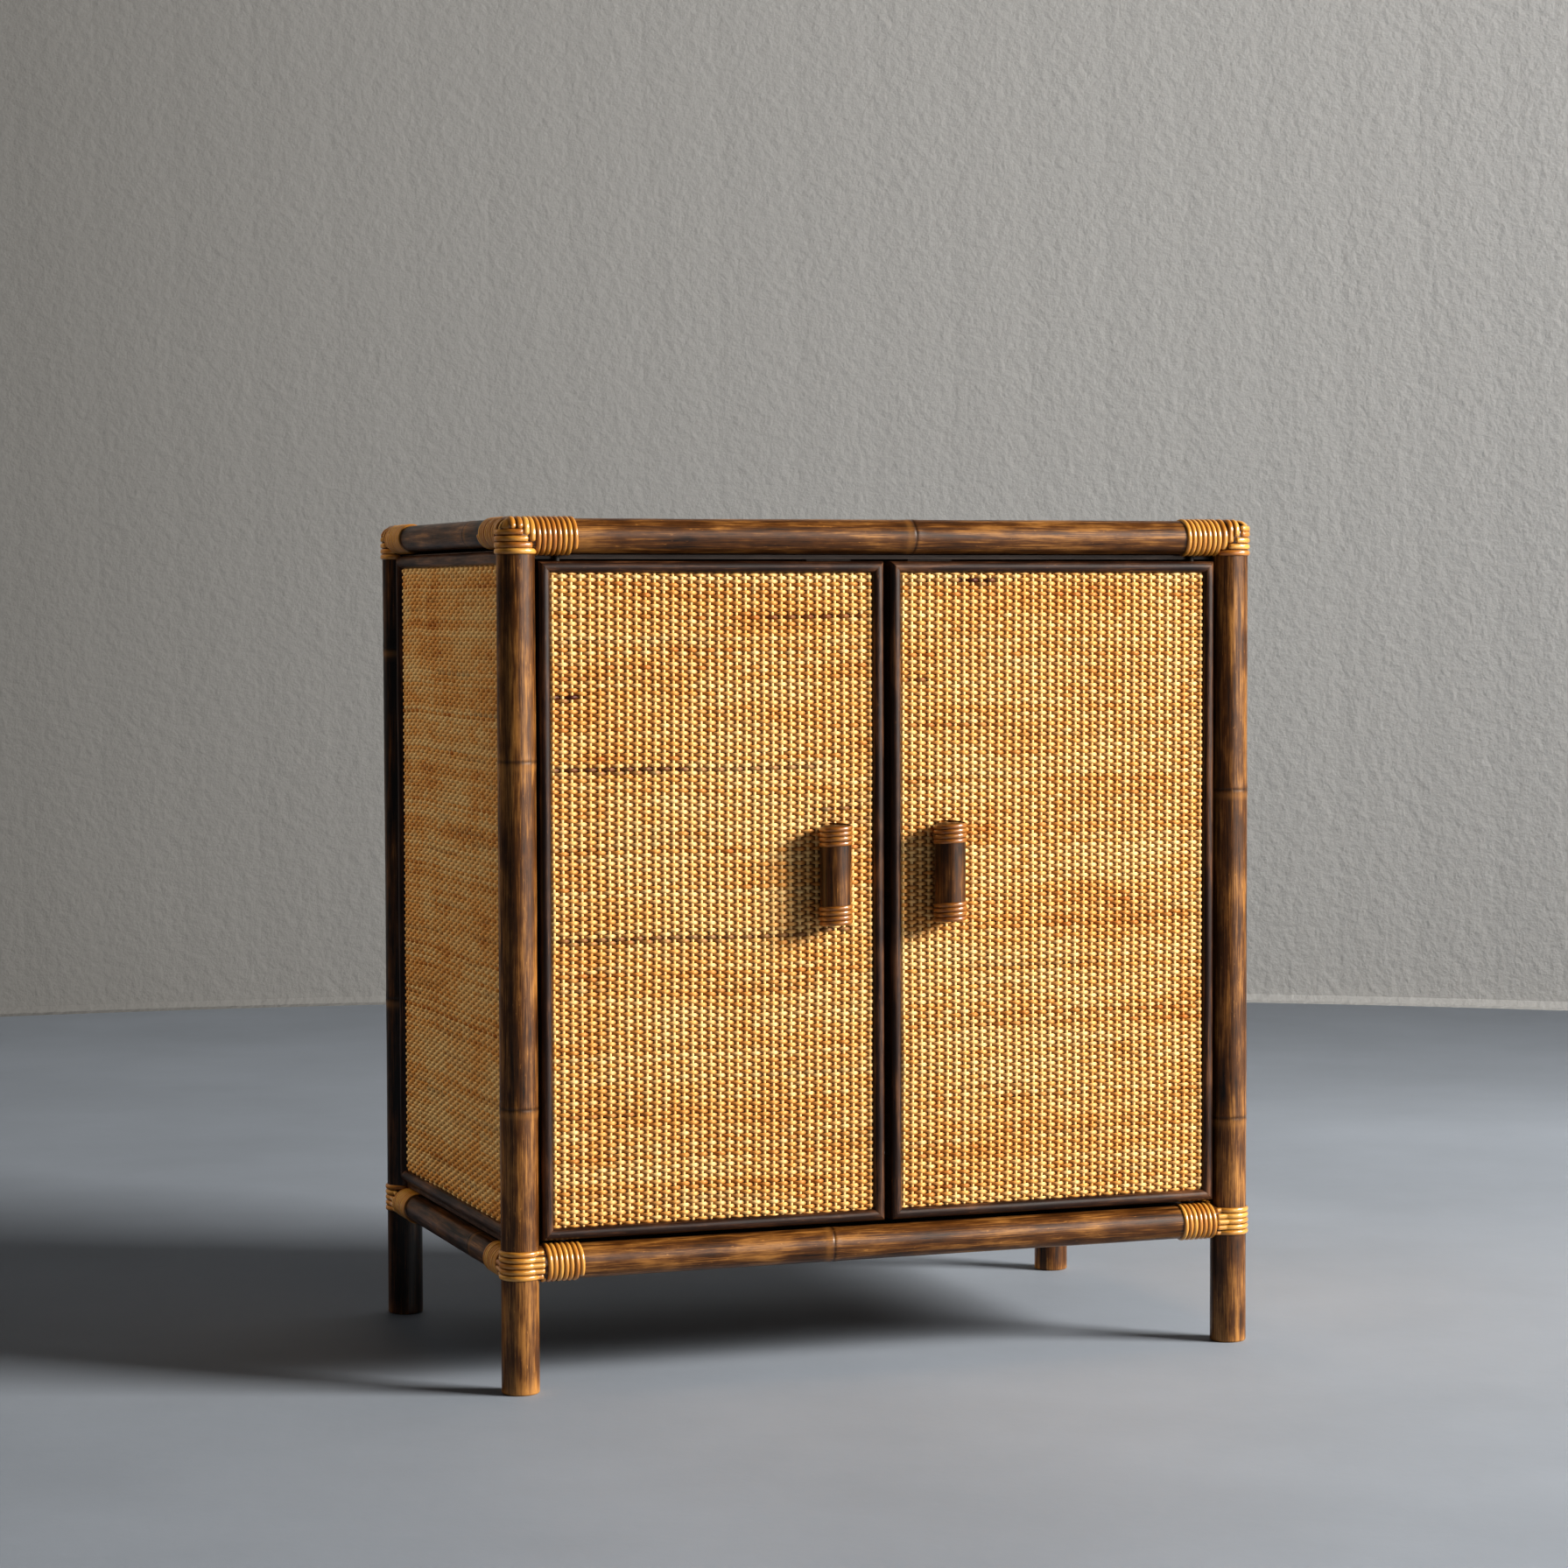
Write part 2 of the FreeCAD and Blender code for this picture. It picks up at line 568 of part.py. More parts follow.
def make_door_panel(side):
    """The backing board, its woven mat and the four mitred strips that cover the mat's edge."""
    low = (DOOR_INNER, DOOR_FRONT, DOOR_LOW)
    high = (DOOR_OUTER, DOOR_BACK, DOOR_HIGH)
    blank = mirrored_slab(f"door_{side}_blank", side, low, high)
    bores = bush_bores(f"door_{side}_bore", side, BUSH_RADIUS)
    sub_part(f"door_{side}_board", cut(f"door_{side}_board", blank, bores))
    mat = mirrored_slab(f"door_{side}_mat", side, (DOOR_INNER, DOOR_FACE, DOOR_LOW),
                        (DOOR_OUTER, DOOR_FRONT, DOOR_HIGH))
    sub_part(f"door_{side}_mat", mat)
    left_edge = f"-{DOOR_OUTER}" if side == "left" else DOOR_INNER
    strips = trim_frame(f"door_{side}_strip", (left_edge, DOOR_FACE, DOOR_LOW), X, Z,
                        f"({DOOR_OUTER} - {DOOR_INNER})", f"({DOOR_HIGH} - {DOOR_LOW})",
                        "dims.door_trim_radius")
    for edge, strip in strips.items():
        sub_part(f"door_{side}_trim_{edge}", strip)


def make_handle(side):
    """A short upright pole on the face of the door, with both its ends wrapped in cane."""
    name = f"handle_{side}"
    at_x = signed(side, "dims.handle_offset")
    low = "dims.handle_height - dims.handle_length / 2"
    high = "dims.handle_height + dims.handle_length / 2"
    pole = round_bar(name, "dims.handle_radius", "dims.handle_length")
    sub_part(name, place(pole, at_x, HANDLE_Y, low))
    wraps = []
    for level, start in (("low", low), ("high", f"{high} - dims.handle_wrap_length")):
        wraps.append(sleeve(f"{name}_wrap_{level}", HANDLE_WRAP, "dims.handle_radius",
                            "dims.handle_wrap_length", (at_x, HANDLE_Y, start)))
    sub_part(f"{name}_wraps", group(f"{name}_both_wraps", wraps))


def make_door_fittings(side):
    """Pivot bushes pressed into the door's edges, and the steel plate for the catch."""
    outer = bush_bores(f"bush_{side}_outer", side, BUSH_RADIUS)
    inner = bush_bores(f"bush_{side}_inner", side, BUSH_BORE)
    bushes = [cut(f"bush_{side}_{n}", ring, [bore]) for n, (ring, bore) in enumerate(zip(outer, inner))]
    sub_part(f"door_{side}_bushes", group(f"bushes_{side}", bushes))
    strike = mirrored_slab(f"door_{side}_strike_plate", side,
                           ("dims.catch_offset - dims.strike_length / 2", DOOR_BACK,
                            f"{DOOR_HIGH} - dims.strike_height"),
                           ("dims.catch_offset + dims.strike_length / 2",
                            f"{DOOR_BACK} + dims.strike_thickness", DOOR_HIGH))
    sub_part(f"door_{side}_strike_plate", strike)


def make_catches():
    """Magnetic catches under the front batten, one behind each door."""
    catches = [mirrored_slab(f"catch_{side}", side,
                             ("dims.catch_offset - dims.catch_length / 2", CATCH_FRONT,
                              f"{BATTEN_LOW} - dims.catch_height"),
                             ("dims.catch_offset + dims.catch_length / 2",
                              f"{CATCH_FRONT} + dims.catch_depth", BATTEN_LOW)) for side in SIDES]
    sub_part("magnetic_catches", group("catches", catches))


# ------------------------------------------------------------------ assembly

make_posts()
make_front_rails()
make_side_rails()
make_lashings()
make_flat_boards()
make_side_panels()
make_back_board()
make_shelf()
make_battens()
make_pivots()
make_catches()
for door_side in SIDES:
    make_door_panel(door_side)
    make_handle(door_side)
    make_door_fittings(door_side)
doc.recompute()

for item in doc.Objects:
    if "Invalid" in item.State or "Error" in item.State:
        raise RuntimeError(f"{item.Label} failed: {item.State}")

os.makedirs("parts", exist_ok=True)
for piece in sub_parts:
    shape = piece.Shape
    if shape.isNull() or not shape.isValid():
        raise RuntimeError(f"{piece.Label} has no sound shape")
    shape.exportStep(f"parts/{piece.Label}.step")
    box = shape.BoundBox
    print(f"{piece.Label}: {len(shape.Solids)} solids, {shape.Volume / 1000:.1f} cm3,"
          f" x {box.XMin:.1f} to {box.XMax:.1f}, y {box.YMin:.1f} to {box.YMax:.1f},"
          f" z {box.ZMin:.1f} to {box.ZMax:.1f}")
print(len(sub_parts), "sub-parts")
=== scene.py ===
# %% [markdown]
# # A rattan side table with two doors
# The table is a cage of round rattan poles, tied at its eight corners with split cane. Two doors
# and two side panels carry a plain woven mat in a frame of half-round strips. This lesson dresses
# the packed CAD model: it keeps the boards and the metal parts as they are, gives them a finish,
# and rebuilds the poles, the strips, the cane and the mats with the small shapes that they have.

# %% Load the packed model
import math
import bpy
import numpy as np
from mathutils import Matrix, Vector


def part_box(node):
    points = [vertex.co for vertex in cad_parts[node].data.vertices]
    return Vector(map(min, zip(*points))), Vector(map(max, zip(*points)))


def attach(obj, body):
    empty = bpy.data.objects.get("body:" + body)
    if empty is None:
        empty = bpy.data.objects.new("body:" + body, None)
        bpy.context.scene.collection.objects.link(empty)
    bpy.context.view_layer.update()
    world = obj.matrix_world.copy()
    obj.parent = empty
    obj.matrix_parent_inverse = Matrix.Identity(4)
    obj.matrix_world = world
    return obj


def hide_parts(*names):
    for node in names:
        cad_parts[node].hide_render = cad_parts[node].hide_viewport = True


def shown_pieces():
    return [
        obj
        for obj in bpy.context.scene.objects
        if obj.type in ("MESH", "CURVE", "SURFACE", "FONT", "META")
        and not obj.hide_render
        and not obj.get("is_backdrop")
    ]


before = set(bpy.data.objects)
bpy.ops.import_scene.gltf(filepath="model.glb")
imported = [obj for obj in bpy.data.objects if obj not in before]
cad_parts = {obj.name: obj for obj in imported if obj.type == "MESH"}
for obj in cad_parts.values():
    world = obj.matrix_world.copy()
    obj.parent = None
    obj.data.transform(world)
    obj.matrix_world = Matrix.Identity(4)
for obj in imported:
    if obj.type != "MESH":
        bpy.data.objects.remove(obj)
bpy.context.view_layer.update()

MM = 0.001

# %% [markdown]
# ## The camera
# A camera is placed by its eye point and by three directions: where it looks, what is to its right
# and what is up. Angles are easier to read than a matrix, so the three directions are worked out
# from a turn to the right, a small tilt down and a very small lean. The lens is a long one, which
# keeps the verticals upright.

# %% Camera
def aim(eye, turn, tilt, lean):
    ahead = Vector((math.sin(turn) * math.cos(tilt), math.cos(turn) * math.cos(tilt),
                    -math.sin(tilt)))
    right = ahead.cross(Vector((0, 0, 1))).normalized()
    up = right.cross(ahead)
    right, up = (right * math.cos(lean) + up * math.sin(lean),
                 up * math.cos(lean) - right * math.sin(lean))
    turned = Matrix((right, up, -ahead)).transposed().to_4x4()
    return Matrix.Translation(Vector(eye)) @ turned

lens = bpy.data.cameras.new("camera")
lens.sensor_width = 36.0
lens.lens = 87.75
camera = bpy.data.objects.new("camera", lens)
bpy.context.collection.objects.link(camera)
EYE, TURN, TILT, LEAN = (-1.17505, -3.20020, 0.65053), 19.779, 2.72, -0.183   # metres, degrees
camera.matrix_world = aim(EYE, math.radians(TURN), math.radians(TILT), math.radians(LEAN))
bpy.context.scene.camera = camera
print("camera distance to the middle:", round((camera.location - Vector((0, 0, .36))).length, 3))

# %% [markdown]
# ## Node materials
# Every finish here is painted by nodes. A helper that adds a node, sets its fields and joins its
# inputs keeps each recipe down to a few lines, so that the recipe itself can be read. A recipe
# reads two vectors that every piece made here carries at each vertex: `grain`, its place along and
# across its own fibres, and a second one, three numbers for stain, wear and painted shade that
# each finish explains.

# %% A short hand for nodes
class Recipe:
    """A material whose nodes are added one call at a time."""

    def __init__(self, name, **sockets):
        self.material = bpy.data.materials.new(name)
        self.material.use_nodes = True
        self.nodes = self.material.node_tree.nodes
        self.links = self.material.node_tree.links
        self.shader = self.nodes["Principled BSDF"]
        for key, value in sockets.items():
            self.shader.inputs[key.replace("_", " ")].default_value = value

    def add(self, kind, fields=None, **inputs):
        """In an input's name _ stands for a space; i0 is the socket with number 0."""
        node = self.nodes.new("ShaderNode" + kind)
        for key, value in (fields or {}).items():
            setattr(node, key, value)
        for key, value in inputs.items():
            key = int(key[1:]) if key[0] == "i" and key[1:].isdigit() else key.replace("_", " ")
            if isinstance(value, bpy.types.NodeSocket):
                self.links.new(value, node.inputs[key])
            else:
                node.inputs[key].default_value = value
        return node

    def noise(self, vector, scale, detail=3.0, rough=0.55, **more):
        return self.add("TexNoise", Vector=vector, Scale=scale, Detail=detail,
                        Roughness=rough, **more).outputs["Fac"]

    def place(self):
        return self.add("TexCoord").outputs["Object"]

    def lane(self, name="grain"):
        return self.add("Attribute", {"attribute_name": name}).outputs["Vector"]

    def split(self, vector):
        return self.add("SeparateXYZ", Vector=vector).outputs

    def stretch(self, vector, x, y, z):
        return self.add("Mapping", Vector=vector, Scale=(x, y, z)).outputs["Vector"]

    def ramp(self, value, *stops):
        node = self.add("ValToRGB", Fac=value)
        ends = node.color_ramp.elements
        while len(ends) < len(stops):
            ends.new(0.5)
        for end, (place, colour) in zip(ends, stops):
            end.position = place
            end.color = (*colour, 1.0) if len(colour) == 3 else colour
        return node.outputs["Color"]

    def level(self, value, low, high, to_low=0.0, to_high=1.0):
        return self.add("MapRange", Value=value, From_Min=low, From_Max=high,
                        To_Min=to_low, To_Max=to_high).outputs["Result"]

    def blend(self, amount, first, second):
        """A Mix node has a socket for each kind of value: 0 is the amount, 6 and 7 are colours."""
        node = self.nodes.new("ShaderNodeMix")
        node.data_type = "RGBA"
        for place, value in ((0, amount), (6, first), (7, second)):
            if isinstance(value, bpy.types.NodeSocket):
                self.links.new(value, node.inputs[place])
            else:
                node.inputs[place].default_value = value if place == 0 else (*value, 1.0)
        return node.outputs[2]

    def sum(self, first, second, how="ADD"):
        return self.add("Math", {"operation": how}, i0=first, i1=second).outputs[0]

    def weigh(self, *shares):
        """The sum of (value, share) pairs."""
        first, *others = (self.sum(value, share, "MULTIPLY") for value, share in shares)
        for other in others:
            first = self.sum(first, other)
        return first

    def colour(self, socket):
        self.links.new(socket, self.shader.inputs["Base Color"])

    def rough(self, socket):
        self.links.new(socket, self.shader.inputs["Roughness"])

    def bump(self, height, strength, distance):
        node = self.add("Bump", Height=height, Strength=strength, Distance=distance)
        self.links.new(node.outputs["Normal"], self.shader.inputs["Normal"])

print("short hand:", ", ".join(word for word in vars(Recipe) if not word.startswith("_")))

# %% [markdown]
# ## The stage
# A pale floor with a pale wall behind it, joined by a small curve. The wall is part of a cylinder
# and stands far enough back that a camera can go round the table. It has the relief of rough
# plaster, and a painted light makes its colour lighter towards its right, where the window of a
# room would be. Both have a faint mottle, because a perfectly even colour looks like paper.

# %% Finish of the floor and of the wall
FACING = math.radians(19.8)          # the way from the camera to the middle of the wall

def stage_finish(name, tone, mottle, rough, depth, painted_light_tone=None):
    """The last argument is the tone that the wall reaches on its right: painted light, where a
    window would light the room.
    """
    r = Recipe(name, Roughness=rough, Specular_IOR_Level=0.16)
    place = r.place()
    cloud = r.noise(place, 1.7, 6.0, 0.6)
    paint = r.ramp(cloud, (0.3, [c * (1 - mottle) for c in tone]), (0.7, tone))
    # Painted light: the wall grows lighter towards its right, as if a window lit it.
    if painted_light_tone:
        turned = r.add("Mapping", Vector=place, Rotation=(0, 0, FACING)).outputs["Vector"]
        paint = r.blend(r.level(r.split(turned)["X"], -1.5, 1.5), paint, painted_light_tone)
    r.colour(paint)
    r.bump(r.noise(place, 60.0, 4.0, 0.6), 0.35, depth)
    return r.material

pale_floor = stage_finish("pale_floor", (0.365, 0.408, 0.472), mottle=0.16, rough=0.62,
                          depth=0.0006)
pale_wall = stage_finish("pale_wall", (0.150, 0.1485, 0.1435), mottle=0.06, rough=0.9,
                         depth=0.010, painted_light_tone=(0.52, 0.52, 0.515))
print("stage finishes:", pale_floor.name, pale_wall.name)

# %% Floor and wall
def stage_piece(name, verts, faces, finish):
    mesh = bpy.data.meshes.new(name)
    mesh.from_pydata(verts, [], faces)
    mesh.materials.append(finish)
    thing = bpy.data.objects.new(name, mesh)
    bpy.context.collection.objects.link(thing)
    thing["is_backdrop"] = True
    return thing

FAR = 12                             # metres from the middle of the floor to its edges
stage_piece("floor", [(-FAR, -FAR, 0), (FAR, -FAR, 0), (FAR, FAR, 0), (-FAR, FAR, 0)],
            [(0, 1, 2, 3)], pale_floor)

WALL_AWAY, WALL_RADIUS, WALL_REACH, WALL_STEPS = 2.86, 3.6, math.radians(72), 72
FOOT_OF_WALL = [(3.58, 0.0), (3.592, 0.003), (WALL_RADIUS, 0.012), (WALL_RADIUS, 4.0)]
ahead = Vector((math.sin(FACING), math.cos(FACING), 0))
wall_axis = ahead * (WALL_AWAY - WALL_RADIUS)
verts, faces, high = [], [], len(FOOT_OF_WALL)
for step in range(WALL_STEPS + 1):
    turn = WALL_REACH * (2 * step / WALL_STEPS - 1)
    out = Matrix.Rotation(turn, 3, "Z") @ ahead
    verts += [tuple(wall_axis + out * r + Vector((0, 0, z))) for r, z in FOOT_OF_WALL]
    if step:
        k = len(verts) - 2 * high
        faces += [(k + i, k + i + 1, k + i + 1 + high, k + i + high) for i in range(high - 1)]
wall = stage_piece("wall", verts, faces, pale_wall)
print("the wall has", len(faces), "faces and stands", WALL_AWAY, "m from the table's middle")

# %% [markdown]
# ## The light
# One soft light to the right and a little above the table, as from a window, shapes everything. It
# grazes the weave, so that each strand has a bright side and a dark one, and it leaves the left
# half of every pole dark. A light in front is for gloss alone: it shows as a gleam in the varnish
# and brightens nothing else. Two dim lights lift the left side and the back, and one lights the
# wall. Each of these three reaches only what it is for. That is called light linking: the light is
# given a collection that holds the objects that it may reach.

# %% Lights
MIDDLE = Vector((0, 0, 0.4))         # the point that the lights look at

def soft_light(name, turn, rise, distance, power, size, colour, gleams=True):
    """turn: degrees to the right of the front; rise: degrees above the table; distance and size:
    in metres; power: in watts; gleams: whether glossy surfaces mirror it."""
    data = bpy.data.lights.new(name, "AREA")
    data.shape, data.energy, data.color = "RECTANGLE", power, colour
    data.size, data.size_y = size
    lamp = bpy.data.objects.new(name, data)
    turn, rise = math.radians(turn), math.radians(rise)
    way = Vector((math.sin(turn) * math.cos(rise), -math.cos(turn) * math.cos(rise),
                  math.sin(rise)))
    lamp.location = MIDDLE + way * distance
    lamp.rotation_mode = "QUATERNION"
    lamp.rotation_quaternion = way.to_track_quat("Z", "Y")
    lamp.visible_camera, lamp.visible_glossy = False, gleams
    bpy.context.collection.objects.link(lamp)
    return lamp

soft_light("window_light", 55, 21, 6.0, 690.0, (2.3, 1.7), (1.0, 0.955, 0.89))
left_fill = soft_light("left_fill", -134, 28, 3.0, 40.0, (1.4, 1.2), (1.0, 0.93, 0.86),
                       gleams=False)
gleam = soft_light("front_gleam", 22, 12, 5.0, 62.0, (2.6, 2.8), (1.0, 0.98, 0.95))
gleam.visible_diffuse = False
back_fill = soft_light("back_fill", 168, 34, 4.2, 75.0, (3.0, 2.2), (1.0, 0.97, 0.94),
                       gleams=False)
wall_light = soft_light("wall_light", 62, 38, 4.4, 130.0, (2.4, 2.0), (1.0, 0.97, 0.93),
                        gleams=False)
RIGHT_OF_WALL = Vector((1.6, 2.5, 0.9))
wall_light.rotation_quaternion = (wall_light.location - RIGHT_OF_WALL).to_track_quat("Z", "Y")
print("lights:", ", ".join(light.name for light in bpy.data.lights))

# %% What each light may reach, and the light of the room
only_wall, only_table = (bpy.data.collections.new(name) for name in ("only_wall", "only_table"))
only_wall.objects.link(wall)
wall_light.light_linking.receiver_collection = only_wall
left_fill.light_linking.receiver_collection = only_table
back_fill.light_linking.receiver_collection = only_table
world = bpy.data.worlds.new("room")
world.use_nodes = True
room = world.node_tree.nodes["Background"]
room.inputs["Color"].default_value = (0.97, 0.98, 1.0, 1.0)
room.inputs["Strength"].default_value = 0.058
bpy.context.scene.world = world
bpy.context.scene.view_settings.view_transform = "Standard"
bpy.context.scene.view_settings.look = "Medium High Contrast"
print("light of the room:", round(room.inputs["Strength"].default_value, 3))

# %% [markdown]
# ## Building strips of mesh
# Poles, strips, cane and strands are all the same thing to Blender: a profile carried along a path.
# So each is an array of points, with a row for each station along the path and a column for each
# point round the profile, and one helper turns a list of such arrays into one object that rides on
# its body. Each vertex also remembers where it sits along the grain, so that one finish can follow
# every pole and every strand, whichever way it runs. A second helper gives the slow wander that
# keeps poles, turns and strands from looking machined.

# %% The mesh helper
def lay(name, strips, finish, body, nodes=(), closed=False, caps=False):
    """strips: a list of (points, grain, dye), each array being (stations, profile points, 3)."""
    verts, faces, grains, dyes, base = [], [], [], [], 0
    for points, grain, dye in strips:
        rows, cols = points.shape[:2]
        index = base + np.arange(rows * cols).reshape(rows, cols)
        near = index if not closed else np.concatenate([index, index[:, :1]], 1)
        quads = np.stack([near[:-1, :-1], near[:-1, 1:], near[1:, 1:], near[1:, :-1]], -1)
        faces += quads.reshape(-1, 4).tolist()
        if caps:
            faces += [index[0][::-1].tolist(), index[-1].tolist()]
        verts.append(points.reshape(-1, 3))
        grains.append(grain.reshape(-1, 3))
        dyes.append(np.broadcast_to(dye, points.shape).reshape(-1, 3))
        base += rows * cols
    mesh = bpy.data.meshes.new(name)
    mesh.from_pydata((np.concatenate(verts) * MM).tolist(), [], faces)
    for label, rows in (("grain", grains), ("dye", dyes)):
        layer = mesh.attributes.new(label, "FLOAT_VECTOR", "POINT")
        layer.data.foreach_set("vector", np.concatenate(rows).astype(np.float32).ravel())
    mesh.shade_smooth()
    mesh.materials.append(finish)
    piece = bpy.data.objects.new(name, mesh)
    bpy.context.collection.objects.link(piece)
    if nodes:
        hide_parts(*nodes)
    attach(piece, body)
    return piece

def drift(seed, longest, shortest, waves=5):
    """A slow, smooth, repeatable wander between about -1 and 1, as a function of length in mm."""
    rng = np.random.default_rng(seed)
    lengths = np.geomspace(longest, shortest, waves) * rng.uniform(0.85, 1.15, waves)
    starts, sizes = rng.uniform(0, 2 * np.pi, waves), np.geomspace(1.0, 0.35, waves)
    def wander(t):
        t = np.asarray(t, float)[..., None]
        return (sizes * np.sin(2 * np.pi * t / lengths + starts)).sum(-1) / sizes.sum() * 1.4
    return wander

print("a wander over 1 m:", drift(1, 260, 60)(np.arange(0, 1001, 250)).round(2).tolist())

# %% [markdown]
# ## Stained rattan
# The poles are whole rattan, stained dark and varnished. Under the stain the fibres still run along
# the pole as fine light and dark streaks, and the stain is thin where it was rubbed. The streaks
# come from noise that is squeezed across the pole and drawn out along it.

# %% Finish of the poles and of the half-round strips
def stained(name, dark, brown, light, reach, gloss, coat):
    """The three numbers read at each vertex: how deep in a growth ring, how pale (above 0) or dark
    the stain is, how much rubbed. The darker stain of a pole on the shaded side is painted shade.
    """
    r = Recipe(name, Coat_Weight=coat, Coat_Roughness=0.22, Specular_IOR_Level=0.3)
    lane, dye = r.lane(), r.split(r.lane("dye"))
    fibres = r.noise(r.stretch(lane, 1, 1, 0.030), 1.1, 5.0, 0.65)
    streaks = r.noise(r.stretch(lane, 1, 1, 0.06), 0.24, 4.0, 0.6)
    cloud = r.noise(r.stretch(lane, 1, 1, 0.45), 0.035, 4.0, 0.6)
    flecks = r.noise(r.stretch(lane, 1, 1, 0.30), 0.55, 3.0, 0.5)
    body = r.weigh((fibres, 0.30), (streaks, 0.34), (cloud, 0.36))
    body = r.sum(body, r.level(dye["Y"], -1, 1, -reach, reach))
    body = r.sum(body, r.level(flecks, 0.66, 0.78, 0.0, 0.09))
    tone = r.ramp(body, (0.38, dark), (0.50, brown), (0.63, light))
    tone = r.blend(r.level(dye["Z"], 0, 1, 0, 0.3), tone, light)
    r.colour(r.blend(r.level(dye["X"], 0.15, 1.0, 0.0, 0.55), tone, dark))
    r.rough(r.level(streaks, 0.3, 0.7, gloss + 0.14, gloss))
    r.bump(r.weigh((fibres, 0.6), (streaks, 0.8)), 0.45, 0.0004)
    return r.material

POLE = stained("stained_rattan", (0.008, 0.0026, 0.0008), (0.110, 0.040, 0.0078),
               (0.46, 0.215, 0.056), reach=0.16, gloss=0.30, coat=0.25)
TRIM = stained("stained_strip", (0.006, 0.0020, 0.0010), (0.030, 0.0105, 0.0045),
               (0.17, 0.075, 0.032), reach=0.16, gloss=0.32, coat=0.16)
print("finishes of the poles and strips:", POLE.name, TRIM.name)

# %% [markdown]
# ## The poles
# A rattan pole is round but never perfectly so. It swells a little at each growth ring, where a
# leaf once sat, and a fine groove runs round it there. A rail is coped, which means that its end is
# hollowed to fit round the post. Each point round a rail's end therefore stops on the post's own
# surface.

# %% Sizes of the cage, in mm
POST_X, FRONT_Y, BACK_Y = 323.25, -185.4, 200.9              # the posts' axes
POST_R, POST_TOP, POST_EASE = 15.75, 717.6, (1.8, 8.8)       # ease: rounding of foot and head
FACE_R, SIDE_R = 14.4, 11.6                                  # front and back rails, side rails
SIDE_SHIFT = 3.0                                             # side rails lie this much further out
RAIL_Z = {"top": (705.6, 708.4), "bottom": (107.1, 104.3)}   # axes on the faces, on the sides
print("posts stand", 2 * POST_X, "by", round(BACK_Y - FRONT_Y, 1), "mm apart")

# %% How a pole changes along its length
NEAR_RING = (0, 0.8, 1.6, 2.6, 4, 6, 9)      # extra points, this many mm from a growth ring

def stops_along(length, rings, ease):
    """Where points lie along a pole: closer at growth rings and on the rounding of its ends."""
    stops = set(np.linspace(0, length, max(8, int(length / 7))).round(2))
    for place, _ in rings:
        stops |= {round(place + d, 2) for near in NEAR_RING for d in (-near, near)}
    stops = np.array(sorted(s for s in stops if 0 <= s <= length))
    if ease[0]:
        curve = 1 - np.cos(np.linspace(0, np.pi / 2, 7))
        stops = np.array(sorted(set(stops[(stops > ease[0]) & (stops < length - ease[1])])
                                | set(ease[0] * curve) | set(length - ease[1] * curve)))
    return stops

def swell(radius, stops, length, rings, ease, seed):
    """Radius, groove and rubbed stain at each stop: each growth ring is a groove in a swelling."""
    r = radius * (1 + 0.006 * drift(seed, 260, 60)(stops))
    groove, rubbed = np.zeros_like(stops), np.zeros_like(stops)
    for place, size in rings:
        away = stops - place
        r = r + size * 0.55 * np.exp(-(away / 5.0) ** 2) - size * 0.45 * np.exp(-(away / 1.1) ** 2)
        groove += np.exp(-(away / 1.7) ** 2)
        rubbed += np.exp(-((away + 5.0) / 3.2) ** 2)
    for size, near in zip(ease, (stops, length - stops)):
        short = np.maximum(size - near, 0)
        r = r - (size - np.sqrt(np.maximum(size ** 2 - short ** 2, 0)))
    return r, groove, rubbed

print("points along 700 mm:", len(stops_along(700, ((236, .6),), (0.0, 0.0))))

# %% A pole
SIDES = 44                                   # points round a pole

def pole(name, body, start, end, radius, rings=(), cope=0.0, offset=0.0, ease=(0.0, 0.0),
         stain=0.0, foot=0.0, seed=1):
    """cope: radius of the posts that both ends are hollowed for; offset: how far the axis lies
    beside the posts' axes; ease: how much each end is rounded; foot: how worn the start is."""
    start, end = np.array(start, float), np.array(end, float)
    length = np.linalg.norm(end - start)
    along = (end - start) / length
    first = np.array((0, 0, 1.0)) if abs(along[2]) < 0.5 else np.array((1.0, 0, 0))
    second = np.cross(along, first)
    stops = stops_along(length, rings, ease)
    r, groove, rubbed = swell(radius, stops, length, rings, ease, seed)
    turn = np.arange(SIDES) * 2 * np.pi / SIDES
    oval = 0.007 * np.cos(2 * turn[None] + drift(seed + 7, 700, 300)(stops)[:, None] * 2)
    ridge = 0.0035 * drift(seed + 9, 2.6, 0.6)(turn[None] + 0.001 * stops[:, None])
    ringed = r[:, None] * (1 + oval + ridge)
    side = ringed[..., None] * (np.cos(turn)[None, :, None] * first
                                + np.sin(turn)[None, :, None] * second)
    hollow = np.zeros(side.shape[:2])
    if cope:
        flat = side @ (np.array((0, 1.0, 0)) if abs(along[0]) > .5 else np.array((1.0, 0, 0)))
        hollow = np.sqrt(np.maximum(cope ** 2 - (flat + offset) ** 2, 0))
    t = stops[:, None] / length
    reach = hollow + (length - 2 * hollow) * t
    points = start + reach[..., None] * along + side
    grain = np.stack([side @ first, side @ second, reach], -1) + 37.0 * seed
    wear = stain + foot * np.exp(-stops / 9.0)
    dye = np.stack([groove, wear, rubbed], -1)[:, None, :] * np.ones((1, SIDES, 1))
    return lay(name, [(points, grain, dye)], POLE, body, (name,),
               closed=True, caps=not cope)

